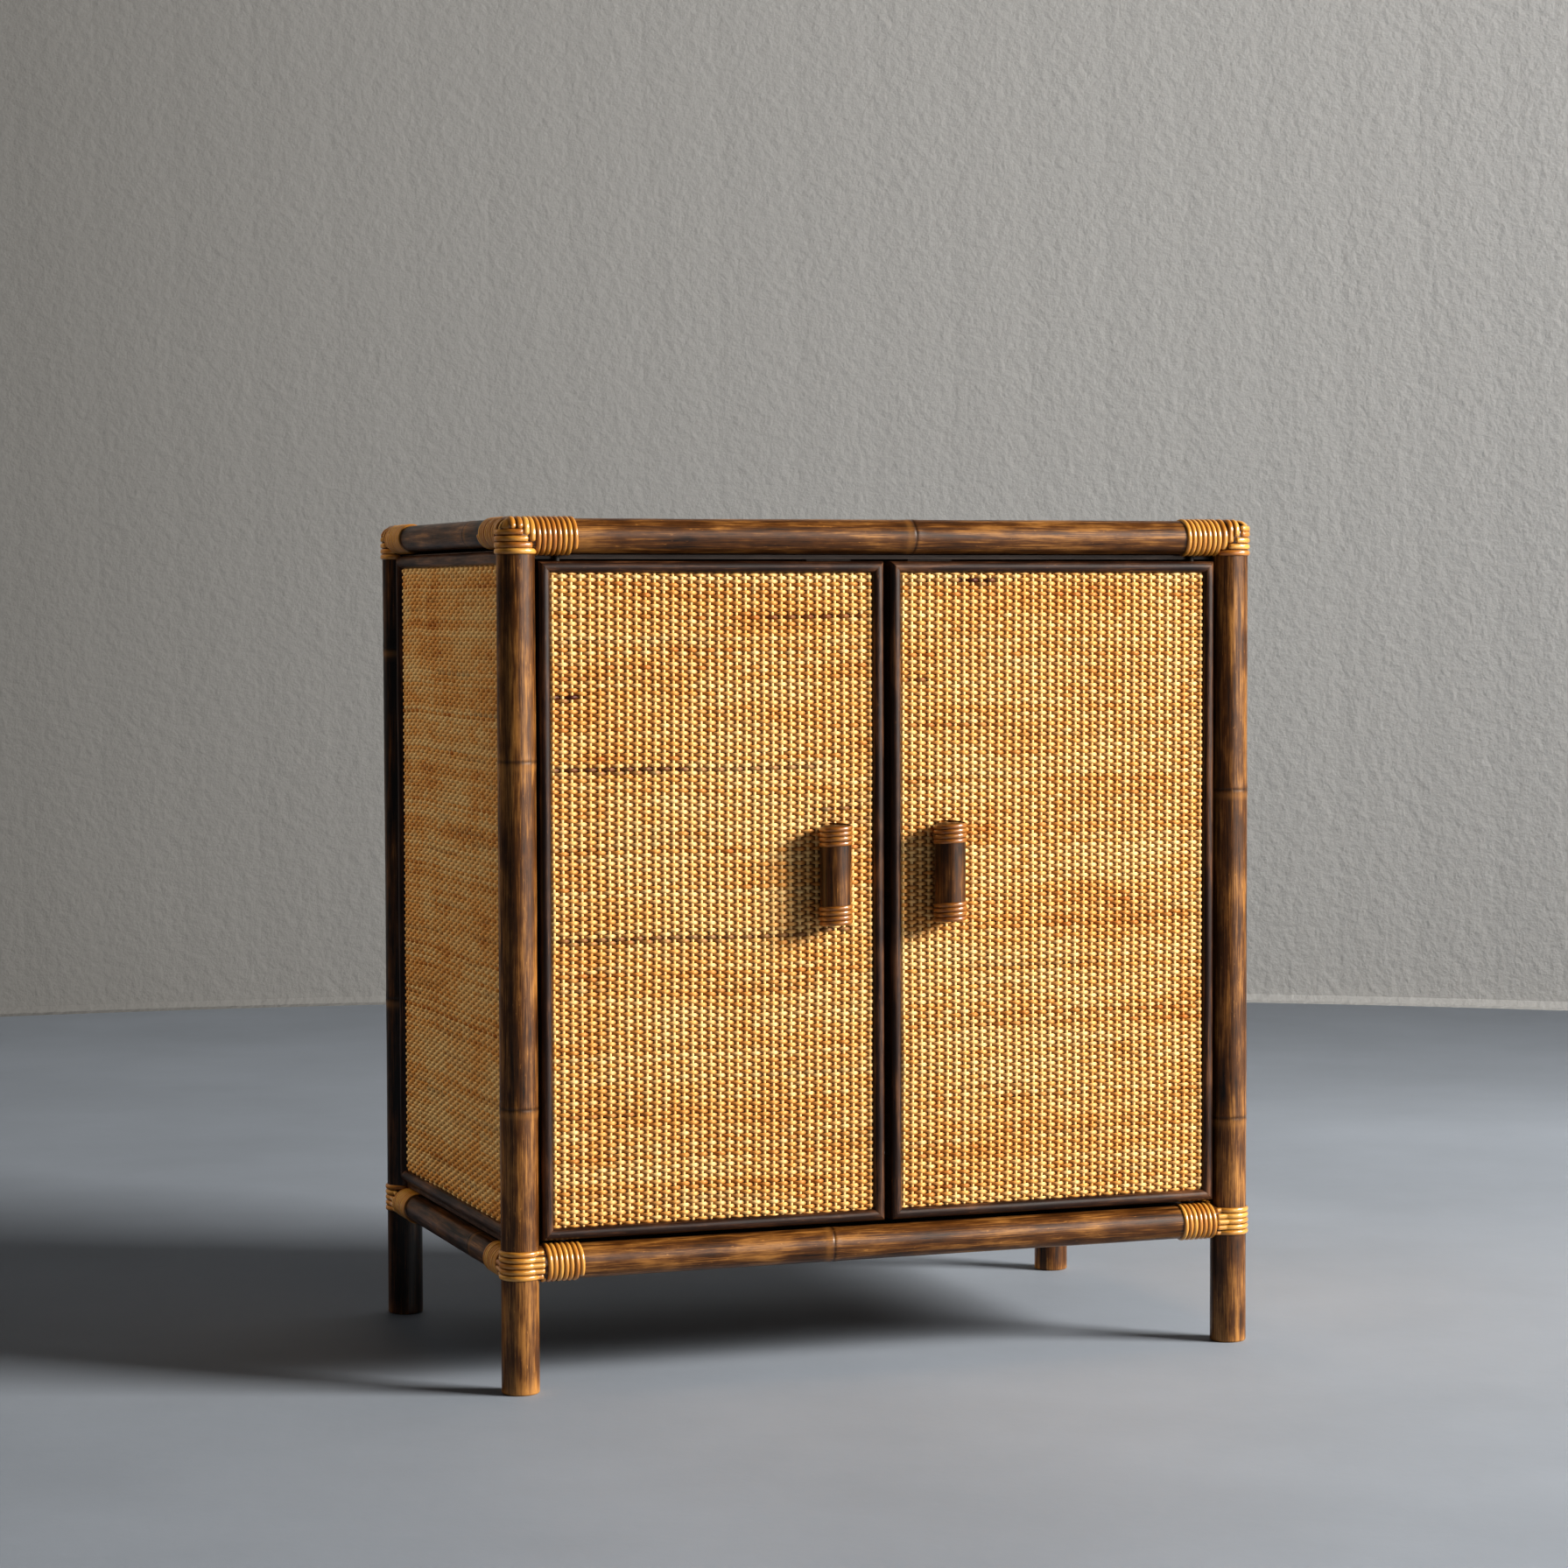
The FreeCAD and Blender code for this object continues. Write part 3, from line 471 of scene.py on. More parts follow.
# %% Posts and rails
# The back left post stands on the shaded side and gets a much darker stain than the others: painted
# shade.
for name, x, y, rings, seed, stain in (
        ("post_front_left", -POST_X, FRONT_Y, ((236, .6), (521, .5)), 11, 0.05),
        ("post_front_right", POST_X, FRONT_Y, ((198, .5), (486, .6)), 12, 0.0),
        ("post_back_left", -POST_X, BACK_Y, ((290, .6), (610, .5)), 13, -0.6),
        ("post_back_right", POST_X, BACK_Y, ((160, .6), (430, .5)), 14, -0.2)):
    pole(name, "carcass", (x, y, 0), (x, y, POST_TOP), POST_R, rings, ease=POST_EASE,
         stain=stain, foot=0.7, seed=seed)

FRONT_RING, BACK_RING = {"top": (347.5, .7), "bottom": (270.5, .8)}, (250, .5)
for level, (face_z, side_z) in RAIL_Z.items():
    for face, y, ring, stain in (("front", FRONT_Y, FRONT_RING[level], 0.0),
                                 ("back", BACK_Y, BACK_RING, -0.2)):
        pole(f"rail_{face}_{level}", "carcass", (-POST_X, y, face_z), (POST_X, y, face_z), FACE_R,
             (ring,), cope=POST_R, stain=stain, seed=21 + len(face) + len(level))
    # The side rails get a darker stain, matched to the shaded left side; the extra darkness is
    # painted shade.
    for side, s in (("left", -1), ("right", 1)):
        x = s * (POST_X + SIDE_SHIFT)
        pole(f"rail_{side}_{level}", "carcass", (x, FRONT_Y, side_z), (x, BACK_Y, side_z), SIDE_R,
             ((150 + 40 * s, .5),), cope=POST_R, offset=SIDE_SHIFT * s, stain=-0.35,
             seed=31 + s + len(level))

# %% [markdown]
# ## Split cane
# The corners are tied with the split skin of the rattan: a strip that is domed on its outside,
# smooth and honey coloured. A turn is this strip carried round the pole. Where a strip ends it is
# tucked under, so its profile shrinks to nothing over the last bit.

# %% Finish of the cane
def cane_finish():
    """The three numbers read at each vertex: how pale this strip is, how near its edge, which sets
    the painted shade in the seams between turns, and how brown with age.
    """
    r = Recipe("split_cane", Coat_Weight=0.8, Coat_Roughness=0.12)
    lane, dye = r.lane(), r.split(r.lane("dye"))
    fibres = r.noise(r.stretch(lane, 0.03, 1, 1), 2.4, 4.0, 0.6)
    blots = r.noise(r.stretch(lane, 0.3, 1, 1), 0.09, 3.0, 0.5)
    mixed = r.sum(r.weigh((fibres, 0.4), (blots, 0.6)), r.level(dye["X"], 0, 1, -0.045, 0.045))
    tone = r.ramp(mixed, (0.36, (0.42, 0.150, 0.020)), (0.5, (0.62, 0.27, 0.042)),
                  (0.64, (0.78, 0.42, 0.095)))
    tone = r.blend(dye["Z"], tone, (0.215, 0.062, 0.0085))
    # Painted shade: the strip turns nearly black towards its edges, in the seams between turns.
    r.colour(r.blend(r.level(dye["Y"], 0, 1, 0, 0.95), tone, (0.060, 0.016, 0.003)))
    r.rough(r.level(blots, 0.3, 0.7, 0.36, 0.22))
    r.bump(fibres, 0.35, 0.00025)
    return r.material

CANE = cane_finish()
print("finish of the lashings:", CANE.name)

# %% Carry the cane's profile along a path
BEDDED, TUCK = 0.25, 1.3      # mm: how deep a turn sits in the pole, and how soon an end goes under

def cane_strip(path, out, width, thick, seed, ends=(True, True), age=0.0):
    """path: (n, 3) on the pole's surface; out: (n, 3) away from it; ends: which ones are tucked
    under. Returns one strip for lay()."""
    path, out = np.asarray(path, float), np.asarray(out, float)
    out = out / np.linalg.norm(out, axis=1, keepdims=True)
    step = np.gradient(path, axis=0)
    ahead = step / np.linalg.norm(step, axis=1, keepdims=True)
    side = np.cross(ahead, out)
    run = np.concatenate([[0], np.cumsum(np.linalg.norm(np.diff(path, axis=0), axis=1))])
    full = np.ones(len(path))
    for is_cut, from_end in ((ends[0], run), (ends[1], run[-1] - run)):
        if is_cut:
            full *= np.sqrt(np.clip(from_end / TUCK, 0, 1))
    arc = np.linspace(0, np.pi, 8)
    half = (width / 2 * -np.cos(arc))[None] * (0.55 + 0.45 * full)[:, None]
    rise = (thick * (np.sin(arc) ** 0.8))[None] * full[:, None] - BEDDED
    points = path[:, None] + half[..., None] * side[:, None] + rise[..., None] * out[:, None]
    grain = np.stack([run[:, None] + 0 * half, half, rise], -1) + 53.0 * seed
    # Painted shade in the seams between turns: the strip is darkened towards its edges.
    edge = (np.abs(np.cos(arc)) ** 6)[None] * np.ones((len(path), 1))
    tint = np.random.default_rng(seed).uniform(0, 1)
    dye = np.stack([np.full_like(edge, tint), edge * 0.8, age + 0 * edge], -1)
    return points, grain, dye

# %% Wind cane round a straight pole
PER_TURN = 36                 # points in one turn

def coil(centre, along, radius, first, pitch, turns, thick, seed, begin, age=0.0):
    """A helix from `first` mm along the pole. begin: where round the pole it starts, in radians."""
    centre, along = np.array(centre, float), np.array(along, float)
    up = np.array((0, 0, 1.0)) if abs(along[2]) < .5 else np.array((1.0, 0, 0))
    cross = np.cross(along, up)
    turn = np.linspace(0, 2 * np.pi * turns, int(PER_TURN * turns) + 1)
    out = np.cos(turn + begin)[:, None] * up + np.sin(turn + begin)[:, None] * cross
    slack = drift(seed, 9.0, 2.5)(turn)
    path = (centre + (first + pitch * turn / 2 / np.pi + 0.18 * slack)[:, None] * along
            + (radius + 0.12 * slack)[:, None] * out)
    return cane_strip(path, out, pitch * 0.99, thick, seed, age=age)

# %% [markdown]
# ## The lashed corners
# At a bottom corner five turns go round the outside of the post and end against the turns on the
# rails. At a top corner the turns of the rails go on over the head of the post, and each one is
# a little shorter than the last. The turns round the post end against them in steps, like a stair,
# so the two sets meet on a slope. A turn follows whichever surface stands further out at its
# height: the post's, or the rail's. Distances `a` and `b` run inwards from the axis of the post,
# along the face of the table and along its side, so one recipe serves all four corners.

# %% The path of a turn round a post
def chord(radius, height):
    return math.sqrt(max(radius * radius - height * height, 0.0))

def round_post(z, face_end, side_end, face_z, side_z):
    """From `side_end` along the side, round the outer corner, to `face_end` along the face."""
    on_side = SIDE_SHIFT + chord(SIDE_R, z - side_z) if abs(z - side_z) < SIDE_R else 0.0
    on_face = chord(FACE_R, z - face_z)
    line = [(-max(chord(POST_R, b), on_side), b) for b in np.arange(side_end, 0.1, -1.1)]
    line += [(-POST_R * math.cos(t), -POST_R * math.sin(t))
             for t in np.radians(np.arange(0, 91, 5.0))]
    line += [(a, -max(chord(POST_R, a), on_face)) for a in np.arange(1.2, face_end, 1.1)]
    if face_end < 0:
        line = [p for p in line if not (p[1] < 0 and p[0] > face_end)]
    if side_end < 0:
        line = [p for p in line if not (p[0] < 0 and p[1] > side_end)]
    return np.array([(a, b, z) for a, b in line])

def facing_out(line, core):
    """Directions at right angles to the path that point away from the core of the corner."""
    step = np.gradient(line, axis=0)
    step /= np.linalg.norm(step, axis=1, keepdims=True)
    away = line - core
    away = away - (away * step).sum(1, keepdims=True) * step
    return away / np.linalg.norm(away, axis=1, keepdims=True)

print("points of one turn:", len(round_post(100.0, 18.2, 18.2, *RAIL_Z["bottom"])))

# %% The path of a turn over the head of a post
BEND = 8.4                    # mm: radius of the bend over the shoulder
HEAD_ON_FACE, HEAD_ON_SIDE, HEAD_BETWEEN = 719.7, 718.3, 719.0   # mm: heights of the three sets

def over_head(way, at, low, top, stop):
    """Up the post at `at`, over its shoulder and inwards until `stop`. way: "face" or "side"."""
    face_z, side_z = RAIL_Z["top"]
    rail_r, shift, rail_z = (FACE_R, 0.0, face_z) if way == "face" else (SIDE_R, SIDE_SHIFT, side_z)
    out = chord(POST_R, at) + 0.1
    if at > 0 and out < rail_r + shift:
        first = math.asin(max(-0.95, (low - rail_z) / rail_r))
        last = math.pi / 2 + math.asin(min(0.9, max(0.0, (stop + shift) / rail_r)))
        line = [(-shift - (rail_r + 0.1) * math.cos(t), rail_z + (rail_r + 0.1) * math.sin(t))
                for t in np.arange(first, last, 0.09)]
    else:
        line = [(-out, z) for z in np.arange(low, top - BEND - 0.5, 1.3)]
        line += [(-out + BEND - BEND * math.cos(t), top - BEND + BEND * math.sin(t))
                 for t in np.radians(np.arange(0, 91, 7.5))]
        line += [(v, top) for v in np.arange(-out + BEND + 1.4, stop, 1.4)]
    return np.array([(at, v, z) if way == "face" else (v, at, z) for v, z in line])

print("points over a head:", len(over_head("face", 5.2, 706.0, HEAD_ON_FACE, 13.0)))

# %% A corner collects its turns
THICK, SIDE_PITCH = 2.2, 4.9            # mm: height of a turn, and turns apart on the side rails

class Corner:
    """Turns are given by distances inwards from the post's axis and mirrored to the corner."""

    def __init__(self, level, face, side):
        self.sx, self.sy = (-1 if side == "left" else 1), (-1 if face == "front" else 1)
        self.axis = np.array((self.sx * POST_X, FRONT_Y if face == "front" else BACK_Y, 0.0))
        self.mirror = np.array((-self.sx, -self.sy, 1.0))
        self.face_z, self.side_z = RAIL_Z[level]
        self.seed = 100 + 10 * (self.sx + 1) + 3 * (self.sy + 1) + (50 if level == "top" else 0)
        self.strips = []

    def add(self, line, width, thick, core, k, ends=(True, True)):
        """core: a point that the turn bends round; k: this turn's own number."""
        out = facing_out(line, np.array(core, float))
        self.strips.append(cane_strip(self.axis + self.mirror * line, self.mirror * out,
                                      width, thick, self.seed + k, ends=ends))

    def wind_face(self, first, pitch, turns):
        """Round the front or back rail, from `first` mm along it."""
        self.strips.append(coil(self.axis + (0, 0, self.face_z), (-self.sx, 0, 0), FACE_R,
                                first, pitch, turns, THICK, self.seed, 2.5))

    def wind_side(self, first, turns, k):
        """Round the side rail."""
        self.strips.append(coil(self.axis + (self.sx * SIDE_SHIFT, 0, self.side_z),
                                (0, -self.sy, 0), SIDE_R, first, SIDE_PITCH, turns, THICK,
                                self.seed + k, 1.0))

print("a corner starts from the post's axis at", Corner("top", "front", "left").axis[:2].tolist())

# %% Tie a bottom corner
ROUND_POST = [97.3 + 4.9 * k for k in range(5)]     # mm: heights of the five turns round a post
POST_TURNS_END, RAIL_TURNS_START = 18.2, 18.3       # mm from the post's axis
BAND = 4.8                                          # mm: width of a turn round a post

def tie_bottom(corner):
    corner.wind_face(RAIL_TURNS_START, 4.54, 7)
    for k, z in enumerate(ROUND_POST):
        line = round_post(z, POST_TURNS_END, POST_TURNS_END, corner.face_z, corner.side_z)
        corner.add(line, BAND, THICK, (4, 4, z), k + 1)
    corner.wind_side(RAIL_TURNS_START, 8.4, 41)
    inner = np.radians(np.arange(8, 84, 6.0))
    for k, z in enumerate(ROUND_POST):
        line = np.array([(POST_R * math.cos(t), POST_R * math.sin(t), z) for t in inner])
        corner.add(line, BAND, THICK, (0, 0, z), k + 51, ends=(False, False))

print("turns round the foot of each post:", len(ROUND_POST))

# %% Tie a top corner
# `face` is where the turns on the rail start, their pitch and their number. Each turn over the
# head has its place and its lowest height, and each flat one round the post its height and end.
TOP_PLANS = {
    "left": dict(face=(11.9, 4.49, 8),
                 over=((-6.0, 711.2), (-0.4, 711.2), (5.2, 706.0), (10.6, 700.8)),
                 flat=((708.6, 2.4), (703.1, 7.0), (697.9, 12.2), (692.9, 16.6))),
    "right": dict(face=(15.2, 4.75, 7), over=((1.0, 706.4), (6.1, 700.9), (11.4, 695.2)),
                  flat=((713.6, -1.8), (708.6, -1.6), (703.2, 3.3), (697.8, 8.4), (692.3, 14.6)))}
OVER_FROM_SIDE = ((-6.4, 711.2), (-0.9, 711.2), (4.5, 706.0), (9.8, 700.8), (15.0, 697.0))
HEAD_CORE = 706               # mm: the height that turns over the head bend round

def tie_top(corner, plan):
    corner.wind_face(*plan["face"])
    for k, (at, low) in enumerate(plan["over"]):
        corner.add(over_head("face", at, low, HEAD_ON_FACE, 13.0), 5.3, 2.1,
                   (at, 2, HEAD_CORE), 11 + k)
    for k, (at, low) in enumerate(OVER_FROM_SIDE):
        corner.add(over_head("side", at, low, HEAD_ON_SIDE, 2.0 if at < 12 else 8.0), 5.3, 2.0,
                   (2, at, HEAD_CORE), 31 + k)
    diagonal = over_head("face", 0.0, 710.5, HEAD_BETWEEN, -3.0)
    swung = np.stack([diagonal[:, 1], diagonal[:, 1], 0 * diagonal[:, 1]], -1) / math.sqrt(2)
    swung[:, 2] = diagonal[:, 2]
    corner.add(swung, 8.5, 1.9, (0, 0, HEAD_CORE), 46)
    for k, (z, end) in enumerate(plan["flat"]):
        side_end = max(end, 2.0) if z > 700 else 15.5
        corner.add(round_post(z, end, side_end, corner.face_z, corner.side_z), 5.2, THICK,
                   (3, 3, z), 21 + k)
    corner.wind_side(17.4, 8.6, 61)

print("turns over a head:", [len(plan["over"]) + len(OVER_FROM_SIDE) + 1
                             for plan in TOP_PLANS.values()])

# %% All eight corners
for level in ("top", "bottom"):
    for face in ("front", "back"):
        for side in ("left", "right"):
            corner = Corner(level, face, side)
            if level == "top":
                tie_top(corner, TOP_PLANS[side])
            else:
                tie_bottom(corner)
            lay(f"lashing_{level}_{face}_{side}", corner.strips, CANE, "carcass",
                (f"lashings_{level}",))

# %% [markdown]
# ## The half-round strips
# Each panel is framed by four half-round strips, mitred at the corners. A mitre means that the
# inner edge of a strip is shorter than its outer edge by its own width at each end, so each line
# along the strip simply starts and stops where the mitre cuts it.

# %% A half-round strip
UNEVEN, FLAT_BACK, MITRE_GAP = 0.035, 1.95, 0.08     # a share of the height; mm; mm

def half_round(name, body, start, end, inward, out, radius, nodes, seed):
    """Along the edge from start to end, its width reaching `inward` and its dome `out`."""
    start, end = np.array(start, float), np.array(end, float)
    inward, out = np.array(inward, float), np.array(out, float)
    length = np.linalg.norm(end - start)
    along = (end - start) / length
    arc = np.linspace(np.pi, 0, 13)
    across = np.append(radius - radius * np.cos(arc), 0.0)
    t = np.linspace(0, 1, max(10, int(length / 9)))
    wander = drift(seed, 240, 45)(t * length)
    rise = radius * np.sin(arc)[None] * (1 - UNEVEN + UNEVEN * wander[:, None])
    rise = np.concatenate([rise, np.full((len(t), 1), -FLAT_BACK)], 1)
    cut = across + MITRE_GAP
    reach = cut[None] + (length - 2 * cut)[None] * t[:, None]
    points = (start + reach[..., None] * along + across[None, :, None] * inward
              + rise[..., None] * out)
    grain = np.stack([across[None] + 0 * rise, rise, reach], -1) + 29.0 * seed
    ends = np.exp(-np.minimum(reach - cut, length - cut - reach) / 2.0)
    dye = np.stack([0 * rise, 0.25 * ends, 0 * rise], -1)
    return lay(name, [(points, grain, dye)], TRIM, body, nodes)

# Each panel as someone in front of it sees it: what is to the right, what is up, what is outwards.
FRONT_OF, TOP_OF = ((1, 0, 0), (0, 0, 1), (0, -1, 0)), ((1, 0, 0), (0, 1, 0), (0, 0, 1))
SIDES_OF = {"left": ((0, -1, 0), (0, 0, 1), (-1, 0, 0)),
            "right": ((0, 1, 0), (0, 0, 1), (1, 0, 0))}

def panel(node, right, up, out):
    """Where a mat's CAD solid starts and ends along three directions, in mm."""
    corners = np.array([list(p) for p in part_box(node)]) / MM
    along = [sorted(corners @ np.array(v, float)) for v in (right, up, out)]
    return [(low, high) for low, high in along]

print("the top mat:", [round(high - low, 1) for low, high in panel("top_mat", *TOP_OF)], "mm")

# %% A frame of four strips round each panel
DOOR_STRIP, SIDE_STRIP, TOP_STRIP = 4.95, 5.5, 5.0   # mm: radius, which is half the width

def seed_of(label):
    """A number for each label, the same at each run."""
    return sum(ord(c) * (i + 3) for i, c in enumerate(label)) % 97

def frame_strips(label, body, mat, right, up, out, radius, node):
    """Four strips round the edge of a mat. In `node`, {} stands for the name of the edge."""
    (u0, u1), (v0, v1), (_, face) = panel(mat, right, up, out)
    right, up, out = (np.array(v, float) for v in (right, up, out))
    def at(u, v):
        return u * right + v * up + face * out
    for k, (edge, a, b, inward) in enumerate((
            ("bottom", at(u0, v0), at(u1, v0), up), ("right", at(u1, v0), at(u1, v1), -right),
            ("top", at(u1, v1), at(u0, v1), -up), ("left", at(u0, v1), at(u0, v0), right))):
        half_round(f"{label}_{edge}", body, a, b, inward, out, radius, (node.format(edge),),
                   seed_of(label) + k)

for side in ("left", "right"):
    door = f"door_{side}"
    frame_strips(f"{door}_trim", door, f"{door}_mat", *FRONT_OF, DOOR_STRIP, door + "_trim_{}")
    frame_strips(f"side_trim_{side}", "carcass", f"side_mat_{side}", *SIDES_OF[side], SIDE_STRIP,
                 f"side_trims_{side}")
frame_strips("top_trim", "carcass", "top_mat", *TOP_OF, TOP_STRIP, "top_trims")

# %% [markdown]
# ## The woven mats
# The mats are plain woven. Stiff flat strands stand upright 8 mm apart, and thinner ones are
# woven across them every 3 mm, over one and under the next. Each cross strand is a cosine wave
# that is half a wave behind its neighbour. A picture of a weave would stay flat under a grazing
# light, so every strand is a real ribbon here. The upright ones show where the others dip behind
# them, as short upright bars. Hand weaving is never even, so one slow wander moves all of the
# strands together, and each has its own colour. The cross strands of a mat are laid as three
# pieces, which keeps each mesh to a size that is easy to handle.

# %% Finish of the strands
def strand_finish():
    """The three numbers read at each vertex: how pale this strand is, how scarred, and how far it
    is behind an upright one, which sets the painted shade where it dips.
    """
    r = Recipe("woven_rattan", Coat_Weight=0.06, Coat_Roughness=0.35, Specular_IOR_Level=0.28)
    lane, dye, place = r.lane(), r.split(r.lane("dye")), r.place()
    fibres = r.noise(r.stretch(lane, 0.06, 1, 1), 2.2, 3.0, 0.6)
    spans = r.noise(r.stretch(lane, 1, 0.2, 1), 0.03, 2.0, 0.5)
    patch = r.noise(r.stretch(place, 1, 1, 2.2), 9.0, 4.0, 0.6)
    spots = r.noise(r.stretch(place, 1, 1, 1.6), 70.0, 2.0, 0.5)
    mixed = r.weigh((fibres, 0.18), (spans, 0.32), (patch, 0.34), (spots, 0.16))
    mixed = r.sum(mixed, r.level(dye["X"], 0, 1, -0.05, 0.15))
    tone = r.ramp(mixed, (0.37, (0.53, 0.178, 0.027)), (0.50, (0.89, 0.440, 0.116)),
                  (0.64, (0.98, 0.66, 0.280)))
    # Painted shade: a strand grows darker where it dips behind an upright one.
    tone = r.blend(r.level(dye["Z"], 0.14, 0.70, 0, 0.8), tone, (0.24, 0.080, 0.012))
    r.colour(r.blend(r.level(dye["Y"], 0, 1, 0, 1), tone, (0.085, 0.019, 0.005)))
    r.rough(r.level(fibres, 0.3, 0.7, 0.55, 0.40))
    r.bump(fibres, 0.3, 0.0002)
    return r.material

STRAND = strand_finish()
print("finish of the mats:", STRAND.name)

# %% Where a mat lies, and how unevenly
PITCH, ROW = 8.0, 2.98                  # mm: upright strands apart, rows apart
MARGIN = 1.2                            # mm: strands stop this far inside the mat's edge

class Mat:
    """A panel that knows where its strands lie. u runs to the right and v upwards, in mm."""

    def __init__(self, node, right, up, out, seed, border):
        (self.u0, u1), (self.v0, v1), (self.back, _) = panel(node, right, up, out)
        self.right, self.up, self.out = (np.array(v, float) for v in (right, up, out))
        self.wide, self.tall, self.border = u1 - self.u0, v1 - self.v0, border
        self.rows, self.ribs = int(self.tall / ROW), int(round(self.wide / PITCH))
        self.row, self.pitch = self.tall / self.rows, self.wide / self.ribs
        self.rng = np.random.default_rng(seed)
        self.wander = [drift(seed + k, 420, 90) for k in range(4)]

    def settle(self, u, v, height):
        """Where points really lie: unevenly, and lower at the border, where a strip holds them."""
        du = 0.55 * self.wander[0](v + 0.2 * u) + 0.25 * self.wander[1](u)
        dv = 1.1 * self.wander[2](u + 0.15 * v) + 0.45 * self.wander[3](v + 0.4 * u)
        edge = np.minimum(np.minimum(u, self.wide - u), np.minimum(v, self.tall - v))
        free = np.clip((edge - self.border + 1.2) / 3.0, 0, 1)
        held = np.clip(edge / 3.0, 0, 1)
        rise = 1.0 + free + height * (0.5 + 0.5 * free)
        return ((self.u0 + u + du * held)[..., None] * self.right
                + (self.v0 + v + dv * held)[..., None] * self.up
                + (self.back + rise)[..., None] * self.out)

print("rows are", ROW, "mm apart, upright strands", PITCH, "mm")

# %% A cross strand
SWING = 1.6                             # mm: how far a wave goes in and out
CROSS_EDGES, CROSS_CROWN = np.array((1.0, 0.60, -0.60, -1.0)), np.array((-0.62, 0.50, 0.50, -0.62))

def chance_marks(mat, j):
    """Nearly every other strand has a darker stretch somewhere."""
    count = 1 if mat.rng.random() < 0.45 else 0
    return [(j * mat.row + 1, start, start + mat.rng.uniform(15, 130), mat.rng.uniform(0.08, 0.32))
            for start in mat.rng.uniform(-60, mat.wide, count)]

def cross_strand(mat, j, scars):
    """Row j, in front of one upright strand and behind the next."""
    u = np.linspace(MARGIN, mat.wide - MARGIN, mat.ribs * 5 + 1)
    beat = np.pi * (u / mat.pitch - 0.5 - j)
    wave = np.cos(beat)
    swing = SWING * mat.rng.uniform(0.92, 1.08) * np.sign(wave) * np.abs(wave) ** 0.95
    half = CROSS_EDGES * (1.48 + 0.29 * np.cos(beat - 1.0))[:, None]
    crown = CROSS_CROWN * mat.rng.uniform(0.9, 1.05)
    lines = (j + 0.5) * mat.row + mat.rng.normal(0, 0.10) + half
    spots = u[:, None] + 0 * half
    points = mat.settle(spots, lines, swing[:, None] + crown[None])
    grain = np.stack([spots + mat.rng.uniform(0, 900), half, np.full_like(half, 7.0 * j)], -1)
    shade = np.zeros(len(u))
    for height, from_u, to_u, amount in list(scars) + chance_marks(mat, j):
        if int(height / mat.row) == j:
            shade += amount * np.clip((u - from_u) / 4, 0, 1) * np.clip((to_u - u) / 4, 0, 1)
    tint = np.clip(mat.rng.normal(0.5, 0.22), 0, 1)
    # The third number is how far the strand dips behind an upright one; the finish turns it into
    # painted shade.
    dye = np.stack([np.full_like(half, tint), shade[:, None] + 0 * half,
                    (0.5 - 0.5 * wave)[:, None] + 0 * half], -1)
    return points, grain, dye

print("a wave of a cross strand is", 2 * PITCH, "mm long and", 2 * SWING, "mm high")

# %% An upright strand
RIB_EDGES, RIB_CROWN = np.array((-1.50, -0.72, 0.72, 1.50)), np.array((-0.60, 0.66, 0.66, -0.60))
RIB_SWING = 0.16                        # mm: stiff strands hardly bend

def upright_strand(mat, i):
    v = np.linspace(MARGIN, mat.tall - MARGIN, mat.rows * 2 + 1)
    wave = np.cos(np.pi * (v / mat.row - 0.5 - i))
    spots = (i + 0.5) * mat.pitch + RIB_EDGES[None] + 0 * v[:, None]
    lines = v[:, None] + 0 * RIB_EDGES[None]
    points = mat.settle(spots, lines, -RIB_SWING * wave[:, None] + RIB_CROWN[None])
    grain = np.stack([lines, 0 * lines + RIB_EDGES[None], np.full_like(lines, 11.0 * i)], -1)
    tint = np.clip(mat.rng.normal(0.85, 0.25), 0, 1.3)
    dye = np.stack([np.full_like(lines, tint), 0 * lines, 0 * lines], -1)
    return points, grain, dye

print("an upright strand is", RIB_EDGES[-1] - RIB_EDGES[0], "mm wide")

# %% Weave all five mats
def weave(name, body, node, right, up, out, strip, seed, scars=()):
    """strip: radius of the strips that cover the mat's border; scars: dark stretches of single
    strands, each as (height, from, to, how dark)."""
    mat = Mat(node, right, up, out, seed, 2 * strip)
    across = [cross_strand(mat, j, scars) for j in range(1, mat.rows - 1)]
    third = len(across) // 3
    parts = [lay(f"{name}_strands_{label}", some, STRAND, body, (node,))
             for label, some in (("low", across[:third]), ("middle", across[third:2 * third]),
                                 ("high", across[2 * third:]))]
    upright = [upright_strand(mat, i) for i in range(mat.ribs)]
    parts.append(lay(f"{name}_ribs", upright, STRAND, body, (node,)))
    print(name, "rows", mat.rows, "ribs", mat.ribs, "faces", [len(p.data.polygons) for p in parts])

weave("weave_door_left", "door_left", "door_left_mat", *FRONT_OF, DOOR_STRIP, 41,
      scars=((448, 10, 42, 1.0), (445, 14, 30, .6), (386, 10, 130, .85), (386, 130, 250, .6),
             (383, 40, 110, .55), (246, 10, 240, .7), (243, 20, 160, .5), (512, 195, 285, .6),
             (352, 235, 285, .7), (249, 235, 275, .7)))
weave("weave_door_right", "door_right", "door_right_mat", *FRONT_OF, DOOR_STRIP, 42,
      scars=((543, 60, 100, .9), (540, 75, 95, .5), (460, 12, 40, .7)))
weave("weave_side_left", "carcass", "side_mat_left", *SIDES_OF["left"], SIDE_STRIP, 43)
weave("weave_side_right", "carcass", "side_mat_right", *SIDES_OF["right"], SIDE_STRIP, 44)
weave("weave_top", "carcass", "top_mat", *TOP_OF, TOP_STRIP, 45)

# %% [markdown]
# ## The handles
# Each handle is a short piece of pole with softened ends. Four turns of cane at each end hold it
# and lift it off the weave. Both are made by the helpers above, with more age in the cane, because
# hands have darkened it.

